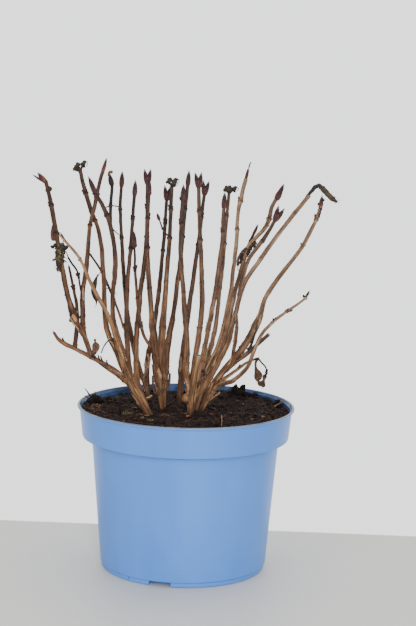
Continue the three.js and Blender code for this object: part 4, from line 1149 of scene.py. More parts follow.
def grow_cut(stem):
    """A pruned end: a pale cut face with a pith hole, inside a rim of bark."""
    s = stem.length
    line = stem.line
    centre, tangent, across, beside = (part[0] for part in frames_on(line, np.array([s])))
    rings = np.array([1.0, 0.93, 0.8, 0.62, 0.45, 0.3, 0.24, 0.2]) * stem.radii[1]
    heights = np.array([-0.2, 0.35, 0.5, 0.45, 0.5, 0.48, 0.1, -0.5])
    sides = 28
    angles = circle(sides)
    wave = 1 + 0.02 * np.sin(angles * 5) + 0.015 * np.sin(angles * 9 + 1)
    points = [centre + tangent * h + (np.cos(angles) * r * wave)[:, None] * across
              + (np.sin(angles) * r * wave)[:, None] * beside for r, h in zip(rings, heights)]
    points = np.vstack([*points, centre - tangent * 2, centre + tangent * heights[-1]])
    cuts.add(points, ring_faces(len(rings), sides))


def spur(foot, tip, radius, tone, thinned):
    """A short stub that stands on the old bark."""
    strand(bough_bark, between(foot, tip, 0.6), radius, tone=tone, sides=9, tip=thinned, step=0.5)


def grow_stubs(stem, lengths, seed):
    """The broken stubs of side shoots at old nodes."""
    draw = seeded(seed * 13 + 5)
    draw()
    for s in lengths:
        turn = draw() * TAU
        for half in HALVES:
            length = mix(*STUB_LENGTH, draw() ** 1.5)
            if draw() < STUB_SKIPPED:
                continue
            out = out_from(stem, s, turn + half, mix(0.4, 1.1, draw()))
            foot = stem.line.wavering(s)[0] + out * stem.skin_radius(s) * 0.6
            tip = foot + out * (stem.skin_radius(s) * 0.6 + length)
            radius, tone = mix(*STUB_RADIUS, draw()), mix(0.4, 0.9, draw())
            spur(foot, tip, radius, tone, 0.6)


def grow_stem(stem, seed):
    """A stem's old wood from its foot to its crown, and what it carries above."""
    crown = max(stem.start, stem.length * stem.crown)
    young = node_lengths(crown, stem.length) if stem.crown < 1 else []
    old = old_nodes(stem, crown, young)
    nodes = [(s, OLD_NODE_SWELL) for s in old]
    if stem.end != "cut":
        grow_stubs(stem, old, seed)
    if stem.start > 0:
        grow_bark(stool_bark, stem, 0, stem.start, nodes, seed, **OLD_BARK)
    if crown > stem.start:
        grow_bark(bough_bark, stem, stem.start, crown, nodes, seed, **OLD_BARK)
    if stem.end == "cut":
        grow_cut(stem)
    elif stem.crown < 1:
        grow_top(stem, crown + GAP, seed, crown)
    else:
        ENDS[stem.end](stem, seeded(seed))


for i, stem in enumerate(stems):
    grow_stem(stem, STEM_SEED + i * SEED_STEP)
for i, stem in enumerate(side_stems):
    grow_top(stem, 0, SIDE_STEM_SEED + i * SEED_STEP, 0)


# Thin dead stalks, curls and sticks: their bends, their thickness, their tone (0 is black) and how much
# they thin out.
STALKS = [
    ([(-93, 12, 316), (-96, 11, 313), (-100, 10, 306), (-101, 9, 300)], 0.5, 0.1, 0.7),
    ([(-79, -10, 245), (-84.2, -6, 243), (-88.4, -6, 237.4), (-91.5, -6, 229.7)], 0.8, 0.15, 0.9),
    ([(64, 14, 235), (66.4, 13, 238), (70.4, 11, 251.3), (74.2, 9, 267)], 1.7, 0.1, 0.5),
    ([(-137, -23, 358), (-134, -25, 359), (-131, -27, 356), (-130, -29, 350)], 0.7, 0.05, 0.8),
    ([(-133, -35, 358), (-130, -35, 356), (-127, -35, 352), (-122, -34, 345)], 1.1, 0.25, 0.8),
    ([(-88, -11, 386), (-83, -10, 387.5), (-77, -8, 387), (-72, -6, 385)], 0.75, 0.05, 0.8),
    ([(-92, 13, 297), (-85, 14, 295.5), (-77, 14, 290)], 0.6, 0.25, 0.5),
    ([(-42.8, 0, 229.3), (-40.6, 0, 222.8), (-42.6, 0, 214.1), (-45.6, 0, 206.3), (-46.1, 0, 200.9)],
     1.35, 0.7, 0.8),
    ([(58.4, 40, 341.6), (65.7, 40, 350.5), (74, 40, 359.4), (82.4, 40, 367.2)], 1.4, 0.85, 0.75),
    ([(49.6, 40, 322), (50.5, 39, 331), (54, 39, 337.5), (58.8, 39, 342.4)], 1.3, 0.3, 0.9),
    ([(51.3, 40, 324), (49.7, 40, 318.8), (52.6, 40, 314.8)], 0.55, 0.05, 0.5),
    ([(87.5, 48, 371), (78, 48, 356.5), (69.7, 48, 344), (59.4, 48, 323), (54.7, 48, 300)], 0.6, 0.12, 0.6),
    ([(30, 16, 192), (44, 22, 203), (58, 24, 214), (66, 24, 221)], 0.9, 0.95, 0.6),
    ([(20, 18, 174), (28, 23, 180), (35, 26, 185)], 1.3, 0.85, 0.7),
    ([(-35, 20, 182), (-37.5, 20, 191), (-38.2, 21, 202)], 1.5, 0.5, 0.7),
    ([(-23, 20, 186), (-20.5, 21, 194), (-19.5, 21, 205)], 1.6, 0.5, 0.7),
    ([(14, 12, 196), (18, 12, 203), (21, 12, 211)], 1.5, 0.55, 0.7),
    ([(-29, 13, 182), (-30.5, 12, 191), (-33, 11, 199)], 1.5, 0.5, 0.7),
    ([(-47.8, 18, 177.2), (-43, 19, 177.6), (-38.4, 20, 180.4)], 1.2, 0.95, 0.8),
    ([(-48, -4, 172), (-50.5, 0, 174), (-53.5, 5, 174.5)], 1.6, 0.75, 0.6),
    ([(-103, 18, 174), (-107.5, 18, 180.5), (-111.5, 18, 186)], 1.3, 0.2, 0.3),
    ([(-104, 18, 172), (-109, 19, 176), (-112.4, 20, 177.7)], 0.9, 0.05, 0.3),
    ([(-99, 19, 174), (-99.5, 19, 179), (-101, 20, 183)], 0.9, 0.1, 0.3),
    ([(41, -54, 166), (41.2, -54, 172), (40.6, -53.6, 177)], 0.5, 1.0, 0.8),
    ([(94, 33, 170), (98.5, 38, 171.8), (103.4, 44, 173)], 0.9, 0.6, 0.6),
    ([(-126.6, -12.8, 331), (-127.9, -14.5, 335), (-128.9, -16, 338.5)], 0.8, 0.1, 0.6),
]
# Withered leaves and scales: their midline, width, tone and curl.
SCRAPS = [
    ([(-97.4, 6, 313), (-100.3, 5, 305), (-102.2, 5, 294), (-98.5, 4, 282.5), (-99.6, 4, 276.5)],
     6.5, 0.1, 1.1),
    ([(-99, -15, 227), (-95.5, -18, 233), (-95, -18, 239), (-97, -17, 244)], 7.0, 0.55, 0.9),
    ([(-99, -14, 227), (-98.5, -16, 234), (-99, -17, 240), (-96, -17, 244.5)], 5.5, 0.35, 1.0),
]
# Dark knots and husks: where, how large, and their tone.
KNOTS = [
    ((-123.6, -12, 265.2), 2.4, 0.35), ((-122, -12, 263.5), 1.6, 0.1), ((-117, -13, 274), 1.8, 0.9),
    ((-120, -5, 285), 1.5, 0.2), ((18, -12, 215), 2.0, 0.0), ((19.3, -12, 212), 1.5, 0.05),
    ((91.5, -22, 274.4), 1.8, 0.0), ((93.5, -22, 275.6), 1.4, 0.05), ((-97, -16, 245), 1.3, 0.1),
    ((-99.5, -16, 228), 2.2, 0.1), ((-97, -17, 227), 1.6, 0.05), ((121.8, -34, 301.9), 1.5, 0.05),
    ((134.5, -16, 396), 1.5, 0.4), ((12, -14.5, 231.6), 1.3, 1.0), ((14.2, -14, 231.9), 1.1, 0.95),
    ((11, -13.5, 230.6), 1.2, 0.9), ((-118.6, 25, 411), 1.9, 0.1), ((138.6, -19.5, 401), 1.6, 0.1),
]
# Broken spurs on the old wood: their foot and tip.
SPURS = [
    ((-91, -14, 220), (-93.6, -17, 229.5)), ((-88, -14, 219), (-90.8, -17, 228.3)),
    ((-83, -15, 216), (-84.5, -17, 224.5)), ((-77, -15, 212), (-79.5, -17, 216.6)),
    ((-70, -15, 207), (-71, -17, 213)), ((-118, -13, 235), (-116, -14, 240)),
    ((-126, -17, 290), (-130, -18, 293)), ((-131, -11, 241), (-132.5, -12, 246)),
    ((57, 18, 234), (54, 17, 238)), ((70, 13, 258), (75, 12, 259)), ((45, 19, 250), (41, 18, 253)),
    ((-73, -9, 229), (-69, -9, 232)), ((-61, -17, 205), (-64, -19, 211)),
]
# Swollen old wood: the mesh it belongs to, its place, size, seed, roughness and tone.
SWELLINGS = [
    (twig_wood, (-147.6, -24, 403.6), (3.3, 2.8, 3.1), 88, 0.2, 0.75),
    (dried, (-97, -16.5, 236), (2.5, 2.2, 7.0), 89, 0.35, 0.45),
    (twig_wood, (-146.6, -23.6, 404.5), (3.2, 2.8, 3.0), 92, 0.15, 0.7),
    (stool_bark, (-0.6, -9, 184.5), (3.0, 2.6, 5.0), 91, 0.3, 0.25),
]
# The dead tip above the bud on the right at the back.
LONE_STALK = [(58, 72, 426), (58.6, 72, 429), (60, 72, 432)]
# Buds of their own: their foot, direction, length, radius and tone.
LONE_BUDS = [
    ((-141.5, -20.5, 350), (-0.02, 0, 1), 19, 2.9, 0.35),
    ((88.8, 55.3, 393), (0.42, 0.1, 0.9), 15, 3.0, 0.45),
]


def small_details():
    """The remains, knots, spurs and buds that the rules above don't grow."""
    for bends, radius, tone, tip in STALKS:
        strand(dried, bends, radius, tone=tone, tip=tip, sides=9)
    for k, (bends, width, tone, curl) in enumerate(SCRAPS):
        blade(dried, bends, width, 31 + k * 4, tone=tone, curl=curl, rows=26, columns=13, crumple=0.16)
    for k, (place, size, tone) in enumerate(KNOTS):
        husk(husks, place, size, 71 + k, tone=tone)
    for foot, tip in SPURS:
        spur(np.array(foot, float), np.array(tip, float), 1.4, 0.55, 0.5)
    for parts, place, size, seed, rough, tone in SWELLINGS:
        lump(parts, place, size, seed, rough=rough, divisions=3, tone=tone)
    strand(dried, LONE_STALK, 1.0, tone=0.15, tip=0.6)
    for foot, direction, length, radius, tone in LONE_BUDS:
        grow_bud(buds, foot, direction, length, radius, tone=tone)
    bundle_tangle()


def bundle_tangle():
    """The black tangle of dead leaf bases and stalks that clings to the bundled shoot."""
    draw = seeded(TANGLE_SEED)
    for k in range(TANGLE_PIECES):
        along = draw()
        start = mix(TANGLE_FOOT, TANGLE_HEAD, np.array([along, draw(), along]))
        start = start + any_way(draw) * TANGLE_SPREAD
        lean = np.array([draw() - 0.4, 0.6 * draw() - 0.3, 0.8 * draw() - 0.1])
        middle = start + lean * (2 + 2 * draw())
        tip = middle + np.array([draw() - 0.5, 0.5 * draw() - 0.3, draw() - 0.5]) * 5
        if k % 3 == 0:
            blade(dried, [start, middle, tip], 2.5 + 1.8 * draw(), 60 + k, tone=0.3 * draw())
        else:
            strand(dried, [start, middle, tip], 0.45 + 0.35 * draw(), tone=0.8 * draw())
        if k % 2:
            husk(husks, mix(start, middle, draw()), 0.8 + 0.8 * draw(), 400 + k, tone=0.5 * draw())


def peel_strips():
    """Thin strips of outer bark that lift off the old stems."""
    draw = seeded(STRIP_SEED)
    for stem in stems:
        for _ in range(int(stem.start / STRIP_SPACING) + 4):
            s = mix(STEM_SUNK + 6, max(stem.start * 1.5, 60), draw())
            if s > stem.length * 0.6:
                continue
            turn, length, width = draw() * TAU, mix(*STRIP_LENGTH, draw()), mix(*STRIP_WIDTH, draw())
            lift = mix(*STRIP_LIFT, draw() ** 2)
            t = np.linspace(0, 1, 12)
            stations = s + t * length
            side = np.linspace(-1, 1, 4)
            taper = np.clip(np.minimum(t * 5, (1 - t) * 4), 0.12, 1)
            angles = turn + 0.15 * np.sin(t * 6)[:, None] + width * taper[:, None] * side[None]
            ring = stem.skin_radius(stations)[:, None] * 1.1 + 0.1 + lift * (2 * t[:, None] - 1) ** 4
            shell(strips, wrapped(stem.line, stations, ring, angles), STRIP_THICKNESS, tone=draw())


small_details()
peel_strips()


def pot_profile():
    """The turned outline: radius, height, and how dark the surface is (1 inside the pot): dirt inside,
    painted shade under the collar, and dirt with painted shade in the foot seam.
    """
    rows = [(0, 0, 0), (30, 0, 0), (60, 0, 0)]

    def rise(start, end, shares, grime=0):
        rows.extend((mix(start[0], end[0], t), mix(start[1], end[1], t), grime) for t in shares)

    ring, ring_top = FOOT_RADIUS - FOOT_RING_IN, FOOT_RING_HEIGHT
    # The seam at the top of the foot ring is darkened: dirt, and painted shade under the body's overhanging
    # edge.
    rows += [
        (ring - 1.6, 0, 0), (ring - 0.7, 0.25, 0), (ring - 0.15, 0.9, 0), (ring, 1.8, 0),
        (ring, ring_top - 1.1, 0), (ring, ring_top - 0.2, 0.7),
        (FOOT_RADIUS - 0.5, ring_top, 0.7), (FOOT_RADIUS, ring_top + 0.5, 0),
    ]
    rise((FOOT_RADIUS, ring_top + 0.5), (BODY_TOP_RADIUS, BODY_TOP), np.linspace(0.04, 0.96, 24))
    # Painted shade: the body just under the collar and the collar's underside get a dark tone, as the
    # collar's shadow.
    rows += [
        (BODY_TOP_RADIUS, BODY_TOP - COLLAR_SHADOW_LINE, 0), (BODY_TOP_RADIUS, BODY_TOP - COLLAR_SHADOW_LINE + 0.4, 0.75),
        (BODY_TOP_RADIUS, BODY_TOP, 0.9), (COLLAR_FOOT_RADIUS - 0.8, COLLAR_FOOT - 0.1, 0.4),
        (COLLAR_FOOT_RADIUS - 0.2, COLLAR_FOOT + 0.1, 0), (COLLAR_FOOT_RADIUS, COLLAR_FOOT + 0.6, 0),
    ]
    rise((COLLAR_FOOT_RADIUS, COLLAR_FOOT + 0.6), (NECK_RADIUS, NECK), np.linspace(0.06, 1, 12))
    bead = RIM_WIDTH / 2
    for angle in np.radians(np.linspace(-70, 180, 14)):
        radius = RIM_RADIUS - bead + bead * math.cos(angle)
        rows.append((radius, POT_HEIGHT - bead + bead * math.sin(angle), 0.9 if angle > INSIDE_LIP else 0))
    shelf = (COLLAR_FOOT_RADIUS - WALL, COLLAR_FOOT + SHELF)
    rise((NECK_RADIUS - WALL, NECK), shelf, np.linspace(0, 1, 9), 1)
    rows += [(BODY_TOP_RADIUS - WALL, BODY_TOP + SHELF, 1), (FOOT_RADIUS - WALL, FLOOR, 1), (40, FLOOR, 1),
             (0, FLOOR, 1)]
    return np.array(rows, float)


def turned(profile, sectors):
    """A closed turned solid. The first and last rows lie on the axis."""
    angles = circle(sectors)
    radius, height = profile[1:-1, :1], profile[1:-1, 1:2]
    ring = layers(radius * np.cos(angles), radius * np.sin(angles), height)
    points = np.vstack([ring.reshape(-1, 3), [0, 0, profile[0, 1]], [0, 0, profile[-1, 1]]])
    return points, ring_faces(len(radius), sectors)


def notch_cutter(angle):
    """A wedge that cuts one drain notch from the foot."""
    half = DRAIN_WIDTH / 2
    top = half - DRAIN_SLANT
    section = [(-half, -1), (half, -1), (top, DRAIN_HEIGHT), (-top, DRAIN_HEIGHT)]
    return cutter_mesh(section, DRAIN_DEPTH, angle)


def cutter_mesh(section, depth, angle):
    """A section, across and up, that reaches from outside the foot to a depth in it, turned to its place."""
    near, far = -(FOOT_RADIUS + CUT_OUTSIDE), depth - FOOT_RADIUS
    cutter = bmesh.new()
    rows = [[cutter.verts.new((x * MM, y * MM, z * MM)) for x, z in section] for y in (near, far)]
    cutter.faces.new(rows[0])
    cutter.faces.new(rows[1][::-1])
    count = len(section)
    for k in range(count):
        after = (k + 1) % count
        cutter.faces.new((rows[0][k], rows[1][k], rows[1][after], rows[0][after]))
    bmesh.ops.recalc_face_normals(cutter, faces=cutter.faces)
    cutter.transform(Matrix.Rotation(angle, 4, "Z"))
    mesh = bpy.data.meshes.new("notch")
    cutter.to_mesh(mesh)
    cutter.free()
    return mesh


def hole_cutter():
    """The small round hole in the foot ring."""
    section = [(PIN_HOLE_RADIUS * math.cos(angle), PIN_HOLE_HEIGHT + PIN_HOLE_RADIUS * math.sin(angle))
               for angle in circle(12)]
    return cutter_mesh(section, PIN_HOLE_DEPTH, PIN_HOLE_ANGLE)


def carve(piece, meshes):
    """Cuts each mesh out of a piece."""
    for mesh in meshes:
        cutter = in_scene("cutter", mesh)
        step = piece.modifiers.new("cut", "BOOLEAN")
        step.operation = "DIFFERENCE"
        step.solver = "EXACT"
        step.object = cutter
        depsgraph = bpy.context.evaluated_depsgraph_get()
        cut = bpy.data.meshes.new_from_object(piece.evaluated_get(depsgraph))
        piece.modifiers.clear()
        piece.data = cut
        bpy.data.objects.remove(cutter)


def make_pot(look):
    profile = pot_profile()
    points, faces = turned(profile, POT_SECTORS)
    # The tone of each row: dirt inside the pot, painted shade under the collar, and dirt with painted shade
    # in the foot seam.
    inside = np.concatenate([np.repeat(profile[1:-1, 2], POT_SECTORS), [0, 1]])
    shape = Parts()
    shape.add(points, faces, tone=inside)
    pot = shape.build("pot_shell", look, "pot_plastic", ["pot"])
    angles = [i / DRAINS * TAU + DRAIN_START for i in range(DRAINS)]
    carve(pot, [*[notch_cutter(angle) for angle in angles], hole_cutter()])
    pot.data.shade_smooth()
    pot.data.set_sharp_from_angle(angle=SHARP_ANGLE)


def soil_height(x, y):
    """Low ripples, a bank towards the wall, and drifts that nearly reach the rim."""
    ripple = np.sin(x * 0.09 + 1) * np.cos(y * 0.11) + 0.6 * np.sin(x * 0.05 - y * 0.13)
    share = np.hypot(x, y) / wall_radius(SOIL_TOP)
    height = SOIL_TOP + ripple * SOIL_RIPPLE * (1 - 0.6 * share) + SOIL_BANK * share**4
    for (at_x, at_y), rise, reach in SOIL_DRIFTS:
        height = height + rise * np.exp(-((x - at_x) ** 2 + (y - at_y) ** 2) / reach**2)
    return height


def wall_radius(z):
    """The radius inside the pot's collar at a height."""
    return mix(COLLAR_FOOT_RADIUS, NECK_RADIUS, (z - COLLAR_FOOT) / (NECK - COLLAR_FOOT)) - WALL


def crumbly(x, y):
    """The height of the compost's crumbly surface."""
    place = layers(x, y, 0.0)
    height = soil_height(x, y)
    for seed, rise, size in SOIL_LUMPS:
        height = height + rise * noise(place, size, seed)
    for seed, rise, size in SOIL_RIDGES:
        height = height + rise * np.abs(noise(place, size, seed))
    return height - 0.6


def make_compost(look):
    reach = wall_radius(SOIL_TOP) - 0.4
    radii = reach * (np.arange(1, SOIL_RINGS + 1) / SOIL_RINGS) ** 0.85
    angles = circle(SOIL_SECTORS)
    x, y = radii[:, None] * np.cos(angles), radii[:, None] * np.sin(angles)
    z = crumbly(x, y)
    wider = 1 + (wall_radius(z) / wall_radius(SOIL_TOP) - 1) * ((radii / reach) ** 8)[:, None]
    top = layers(x * wider, y * wider, z)[::-1]
    under = [(FOOT_RADIUS - WALL, FLOOR + GAP),
             (BODY_TOP_RADIUS - WALL, BODY_TOP + SHELF + SOIL_CLEAR),
             (COLLAR_FOOT_RADIUS - WALL, COLLAR_FOOT + SHELF + SOIL_CLEAR),
             (wall_radius(SOIL_TOP - 8), SOIL_TOP - 8)]
    below = [layers((radius - SOIL_CLEAR) * np.cos(angles), (radius - SOIL_CLEAR) * np.sin(angles), height)
             for radius, height in under]
    grid = np.concatenate([np.array(below), top])
    points = np.vstack([grid.reshape(-1, 3), [0, 0, FLOOR + GAP], [0, 0, surface(0.0, 0.0)]])
    shape = Parts()
    shape.add(points, ring_faces(len(grid), SOIL_SECTORS))
    shape.build("compost_bed", look, "compost", ["compost"])


# Lumps of compost: their place, size and how rough they are.
CLODS = [
    ((49.3, 86, 177.4), (3.2, 3.0, 6.4), 0.62), ((57.4, 85, 178), (2.5, 2.8, 6.6), 0.6),
    ((53, 84, 173), (7, 5, 4), 0.5), ((64, 82, 172), (5, 5, 4), 0.5), ((44, 88, 172), (5, 5, 3.5), 0.5),
    ((72, 78, 172), (5, 4, 3.5), 0.5), ((97, 53, 169.5), (5, 4, 3.4), 0.5), ((99, 40, 169), (4, 4, 3), 0.5),
    ((-101.5, 18, 174.5), (4.6, 4.6, 4.6), 0.6), ((-98, 22, 173), (3.5, 4, 3.5), 0.6),
    ((-104, 12, 173), (3.2, 4, 3.2), 0.6), ((-95, 26, 170.5), (3.5, 4, 2.6), 0.5),
    ((-88, 50, 168.5), (3, 3, 2.6), 0.5), ((-76, 60, 168), (4, 4, 2.4), 0.5),
    ((84, 24, 168), (6, 5, 3), 0.5), ((-60, 78, 169), (5, 4, 3), 0.5),
]
# Patches of moss: their centre, half width, half depth and number of blades.
MOSS = [((-62, -12), 6, 4.5, 70), ((-34.5, -12), 2.6, 2.2, 22), ((-34.5, -40), 3.4, 2.2, 30),
        ((-79, 58), 4.5, 3, 18), ((-101, 6), 3, 3, 14)]
LITTER = {"at": (-101, -12), "reach": (11, 24), "count": 80}
CHIP_PLACES = [(-56, 8), (-52, -4), (-49, -15), (-47, -22), (-42, -30), (-45, -36), (-40, -24), (2, -9),
               (-2, -8), (6, -12), (4, -16), (26.8, -4.8), (72, -18), (82, -9), (-62, -2), (-57, -8)]


def soil_spot(draw, reach):
    """A place on the compost, within a share of the pot's inside."""
    radius = wall_radius(SOIL_TOP) * reach * math.sqrt(draw())
    angle = draw() * TAU
    return radius * math.cos(angle), radius * math.sin(angle)


def surface(x, y):
    return float(crumbly(np.array([x]), np.array([y]))[0])


def scatter_crumbs(crumbs, draw):
    """Clods, and crumbs of every size."""
    for k, (place, size, rough) in enumerate(CLODS):
        lump(crumbs, place, size, 700 + k, rough=rough, divisions=3, tone=0.15, turn=k)
    for k in range(CRUMBS):
        x, y = soil_spot(draw, CRUMB_REACH)
        size = mix(*CRUMB_SIZE, draw() ** 2.2)
        scale = np.array([1 + draw() * 0.5, 0.8 + draw() * 0.4, 0.6 + draw() * 0.3]) * size
        lump(crumbs, (x, y, surface(x, y) + size * 0.25), scale, k, rough=0.45,
             divisions=1 if size < 1.3 else 2, tone=draw(), turn=draw() * 6)


def scatter_fibres(fibres, draw):
    """Fine roots that lie curled on the surface."""
    for _ in range(FIBRES):
        x, y = soil_spot(draw, FIBRE_REACH)
        heading, length, turn = draw() * TAU, mix(*FIBRE_LENGTH, draw()), mix(-1.2, 1.2, draw())
        t = np.linspace(0, 1, 5)
        bends = np.column_stack([x + t * length * np.cos(heading + turn * t),
                                 y + t * length * np.sin(heading + turn * t)])
        lifts = np.array([draw() for _ in range(5)])
        if np.hypot(bends[:, 0], bends[:, 1]).max() > wall_radius(SOIL_TOP) - 1.5:
            continue
        z = crumbly(bends[:, 0], bends[:, 1]) + 0.5 + lifts * 1.1
        radius = mix(*FIBRE_RADIUS, draw())
        strand(fibres, np.column_stack([bends, z]), radius, tone=draw(), sides=5, step=1.6)


def lay_chip(chips, draw, x, y, length, width, seed, tone):
    heading, rise = draw() * TAU, mix(-0.1, 0.35, draw())
    step = np.array([math.cos(heading), math.sin(heading), rise]) * length / 2
    middle = np.array([x, y, surface(x, y) + 0.9])
    blade(chips, [middle - step, middle + (0, 0, 0.5), middle + step], width, seed, curl=0.5, thickness=0.7,
          face=(0.1, 0.1, 1), rows=10, columns=5, crumple=0.08, tone=tone,
          shape=((0, 0.2, 0.8, 1), (0.4, 0.9, 1, 0.35)))


def scatter_chips(chips, draw):
    """Bark chips among the stools and here and there, and a drift of leaf litter by the left rim."""
    for k, (x, y) in enumerate(CHIP_PLACES):
        length, width, tone = (mix(*limits, draw()) for limits in PLACED_CHIP)
        lay_chip(chips, draw, x, y, length, width, k, tone)
    for k in range(LOOSE_CHIPS):
        x, y = soil_spot(draw, LOOSE_CHIP_REACH)
        length, width, tone = (mix(*limits, draw()) for limits in LOOSE_CHIP)
        lay_chip(chips, draw, x, y, length, width, 40 + k, tone)
    for k in range(LITTER["count"]):
        x, y = (at + (draw() - 0.5) * 2 * reach for at, reach in zip(LITTER["at"], LITTER["reach"]))
        if math.hypot(x, y) < wall_radius(SOIL_TOP) - 2:
            length, width = (mix(*limits, draw()) for limits in LITTER_CHIP)
            lay_chip(chips, draw, x, y, length, width, 90 + k, draw() ** 1.2)


def scatter_moss(moss, draw):
    """Short blades that stand in patches."""
    for (centre_x, centre_y), wide, deep, count in MOSS:
        for _ in range(count):
            radius, angle = math.sqrt(draw()), draw() * TAU
            x, y = centre_x + wide * radius * math.cos(angle), centre_y + deep * radius * math.sin(angle)
            z = surface(x, y)
            lean = np.array([draw() - 0.5, draw() - 0.5, 0]) * 2.6
            foot, tip = np.array([x, y, z - 0.5]), np.array([x, y, z + mix(*MOSS_HEIGHT, draw())]) + lean
            width, seed = mix(*MOSS_WIDTH, draw()), int(draw() * 99)
            blade(moss, between(foot, tip), width, seed, curl=0.7, thickness=0.16, rows=6, columns=3,
                  tone=draw(), crumple=0.05)


def linear(colour):
    """A colour written as #rrggbb, or a grey, as the shader's own linear numbers."""
    if isinstance(colour, str):
        shares = [int(colour[i:i + 2], 16) / 255 for i in (1, 3, 5)]
        return tuple(p / 12.92 if p <= 0.04045 else ((p + 0.055) / 1.055) ** 2.4 for p in shares)
    return colour if isinstance(colour, tuple) else (colour,) * 3


# The other shares of a surface, by the shader's own names.
SHARES = {"specular": "Specular IOR Level", "sheen": "Sheen Weight", "coat": "Coat Weight",
          "coat_roughness": "Coat Roughness"}


class Look:
    """A material built from nodes, with short names for the ones used here."""

    def __init__(self, name):
        self.material = bpy.data.materials.new(name)
        self.material.use_nodes = True
        self.tree = self.material.node_tree
        self.shader = self.tree.nodes["Principled BSDF"]

    def node(self, kind, **values):
        made = self.tree.nodes.new(kind)
        for key, value in values.items():
            setattr(made, key, value)
        return made

    def link(self, out, into):
        self.tree.links.new(out, into)

    def put(self, value, socket):
        """Links a socket to what another node gives, or sets it to a number or colour."""
        if isinstance(value, bpy.types.NodeSocket):
            self.link(value, socket)
        elif socket.type == "RGBA":
            socket.default_value = (*linear(value), 1)
        else:
            socket.default_value = value

    def object_place(self):
        return self.node("ShaderNodeTexCoord").outputs["Object"]

    def tone(self):
        return self.node("ShaderNodeAttribute", attribute_name="tone").outputs["Fac"]

    def noise(self, place, stretch, detail, roughness):
        scaled = self.node("ShaderNodeVectorMath", operation="MULTIPLY")
        scaled.inputs[1].default_value = stretch if len(stretch) == 3 else stretch * 3
        self.link(place, scaled.inputs[0])
        made = self.node("ShaderNodeTexNoise")
        for socket, value in (("Scale", 1.0), ("Detail", detail), ("Roughness", roughness),
                              ("Vector", scaled.outputs[0])):
            self.put(value, made.inputs[socket])
        return made.outputs["Fac"]

    def cloud(self, *stretch, detail=3.0, roughness=0.55):
        """Noise by the object's own place, stretched alike or for each axis."""
        return self.noise(self.object_place(), stretch, detail, roughness)

    def streaks(self, *stretch, detail=3.0, roughness=0.55):
        """Noise by the place along the grain that each mesh stores."""
        grain = self.node("ShaderNodeAttribute", attribute_name="grain").outputs["Vector"]
        return self.noise(grain, stretch, detail, roughness)

    def ramp(self, factor, stops):
        made = self.node("ShaderNodeValToRGB")
        points = made.color_ramp.elements
        while len(points) < len(stops):
            points.new(0.5)
        for point, (position, colour) in zip(points, stops):
            point.position = position
            point.color = (*linear(colour), 1)
        self.link(factor, made.inputs["Fac"])
        return made.outputs["Color"]

    def sum(self, a, b, share):
        """a plus a share of b, where b is centred on a half."""
        centred = self.node("ShaderNodeMath", operation="SUBTRACT")
        self.put(b, centred.inputs[0])
        self.put(0.5, centred.inputs[1])
        made = self.node("ShaderNodeMath", operation="MULTIPLY_ADD")
        for value, socket in zip((centred.outputs[0], share, a), made.inputs):
            self.put(value, socket)
        return made.outputs[0]

    def stretched(self, value, low, high, to_low=0.0, to_high=1.0):
        """A value between low and high, brought between two others."""
        made = self.node("ShaderNodeMapRange")
        for value, socket in zip((value, low, high, to_low, to_high), made.inputs):
            self.put(value, socket)
        return made.outputs["Result"]

    def blend(self, factor, a, b, mode="MIX"):
        made = self.node("ShaderNodeMix", data_type="RGBA", blend_type=mode)
        for value, index in ((factor, 0), (a, 6), (b, 7)):
            self.put(value, made.inputs[index])
        return made.outputs[2]

    def colour(self, out):
        self.link(out, self.shader.inputs["Base Color"])

    def finish(self, factor, low, high, height=None, strength=0.0, distance=0.0, **shares):
        """The roughness between two limits, the fine relief, and other shares of the surface by name."""
        self.link(self.stretched(factor, 0.0, 1.0, low, high), self.shader.inputs["Roughness"])
        if height:
            bump = self.node("ShaderNodeBump")
            for socket, value in (("Strength", strength), ("Distance", distance), ("Height", height)):
                self.put(value, bump.inputs[socket])
            self.link(bump.outputs["Normal"], self.shader.inputs["Normal"])
        for name, value in shares.items():
            self.shader.inputs[SHARES[name]].default_value = value
        return self.material


BARK_RAMP = [(0.0, "#b0906b"), (0.2, "#8c6848"), (0.42, "#64442e"), (0.66, "#40291d"), (0.9, "#1e130f")]
BUD_RAMP = [(0.0, "#6f4634"), (0.35, "#482828"), (0.7, "#2f1b1e"), (1.0, "#170f12")]
WOOD_RAMP = [(0.3, "#8f7c62"), (0.6, "#c9b692"), (0.8, "#ddcfae")]
DRIED_RAMP = [(0.0, "#120d0b"), (0.3, "#2f1f18"), (0.6, "#5a3b28"), (0.85, "#7f5d3d"), (1.0, "#a3875f")]
HUSK_RAMP = [(0.0, "#100d0b"), (0.35, "#2a211a"), (0.65, "#473a25"), (1.0, "#6e6540")]
SOIL_RAMP = [(0.25, "#0e0a0a"), (0.45, "#1b1210"), (0.62, "#2a1b16"), (0.8, "#442d22")]
FIBRE_RAMP = [(0.0, "#291812"), (0.6, "#45291e"), (1.0, "#695040")]
CHIP_RAMP = [(0.0, "#271912"), (0.6, "#4b2f20"), (1.0, "#8a6645")]
STRIP_RAMP = [(0.0, "#33211a"), (0.5, "#6b4a34"), (1.0, "#b08c66")]
MOSS_RAMP = [(0.0, "#262710"), (0.5, "#4a481c"), (1.0, "#837c3a")]
POT_RAMP = [(0.25, "#477fd3"), (0.5, "#4d88dc"), (0.75, "#538edf")]
RIM_RAMP = [(0.35, "#55554f"), (0.6, "#7d7b70")]
# The colour of the pot's dirt inside, and of its painted shade under the collar and in the foot seam.
DIRT_AND_SHADE_RAMP = [(0.35, "#1c2430"), (0.5, "#33486b"), (0.7, "#4a6ca6")]
FLOOR_RAMP = [(0.2, "#d6d5cd"), (0.8, "#dcdad2")]
SCUFF_COLOUR = "#8fb0dc"
LICHEN_COLOUR = "#8a7c6c"
# Bark turns from a warm to a cool tint along this direction, between these two distances.
TINT_DIRECTION = (1.0, 0.0, 0.8)
WARM_SIDE, COOL_SIDE = 0.15, 0.29
WARM_TINT, COOL_TINT = (0.99, 0.97, 0.94), (0.92, 1.07, 1.36)


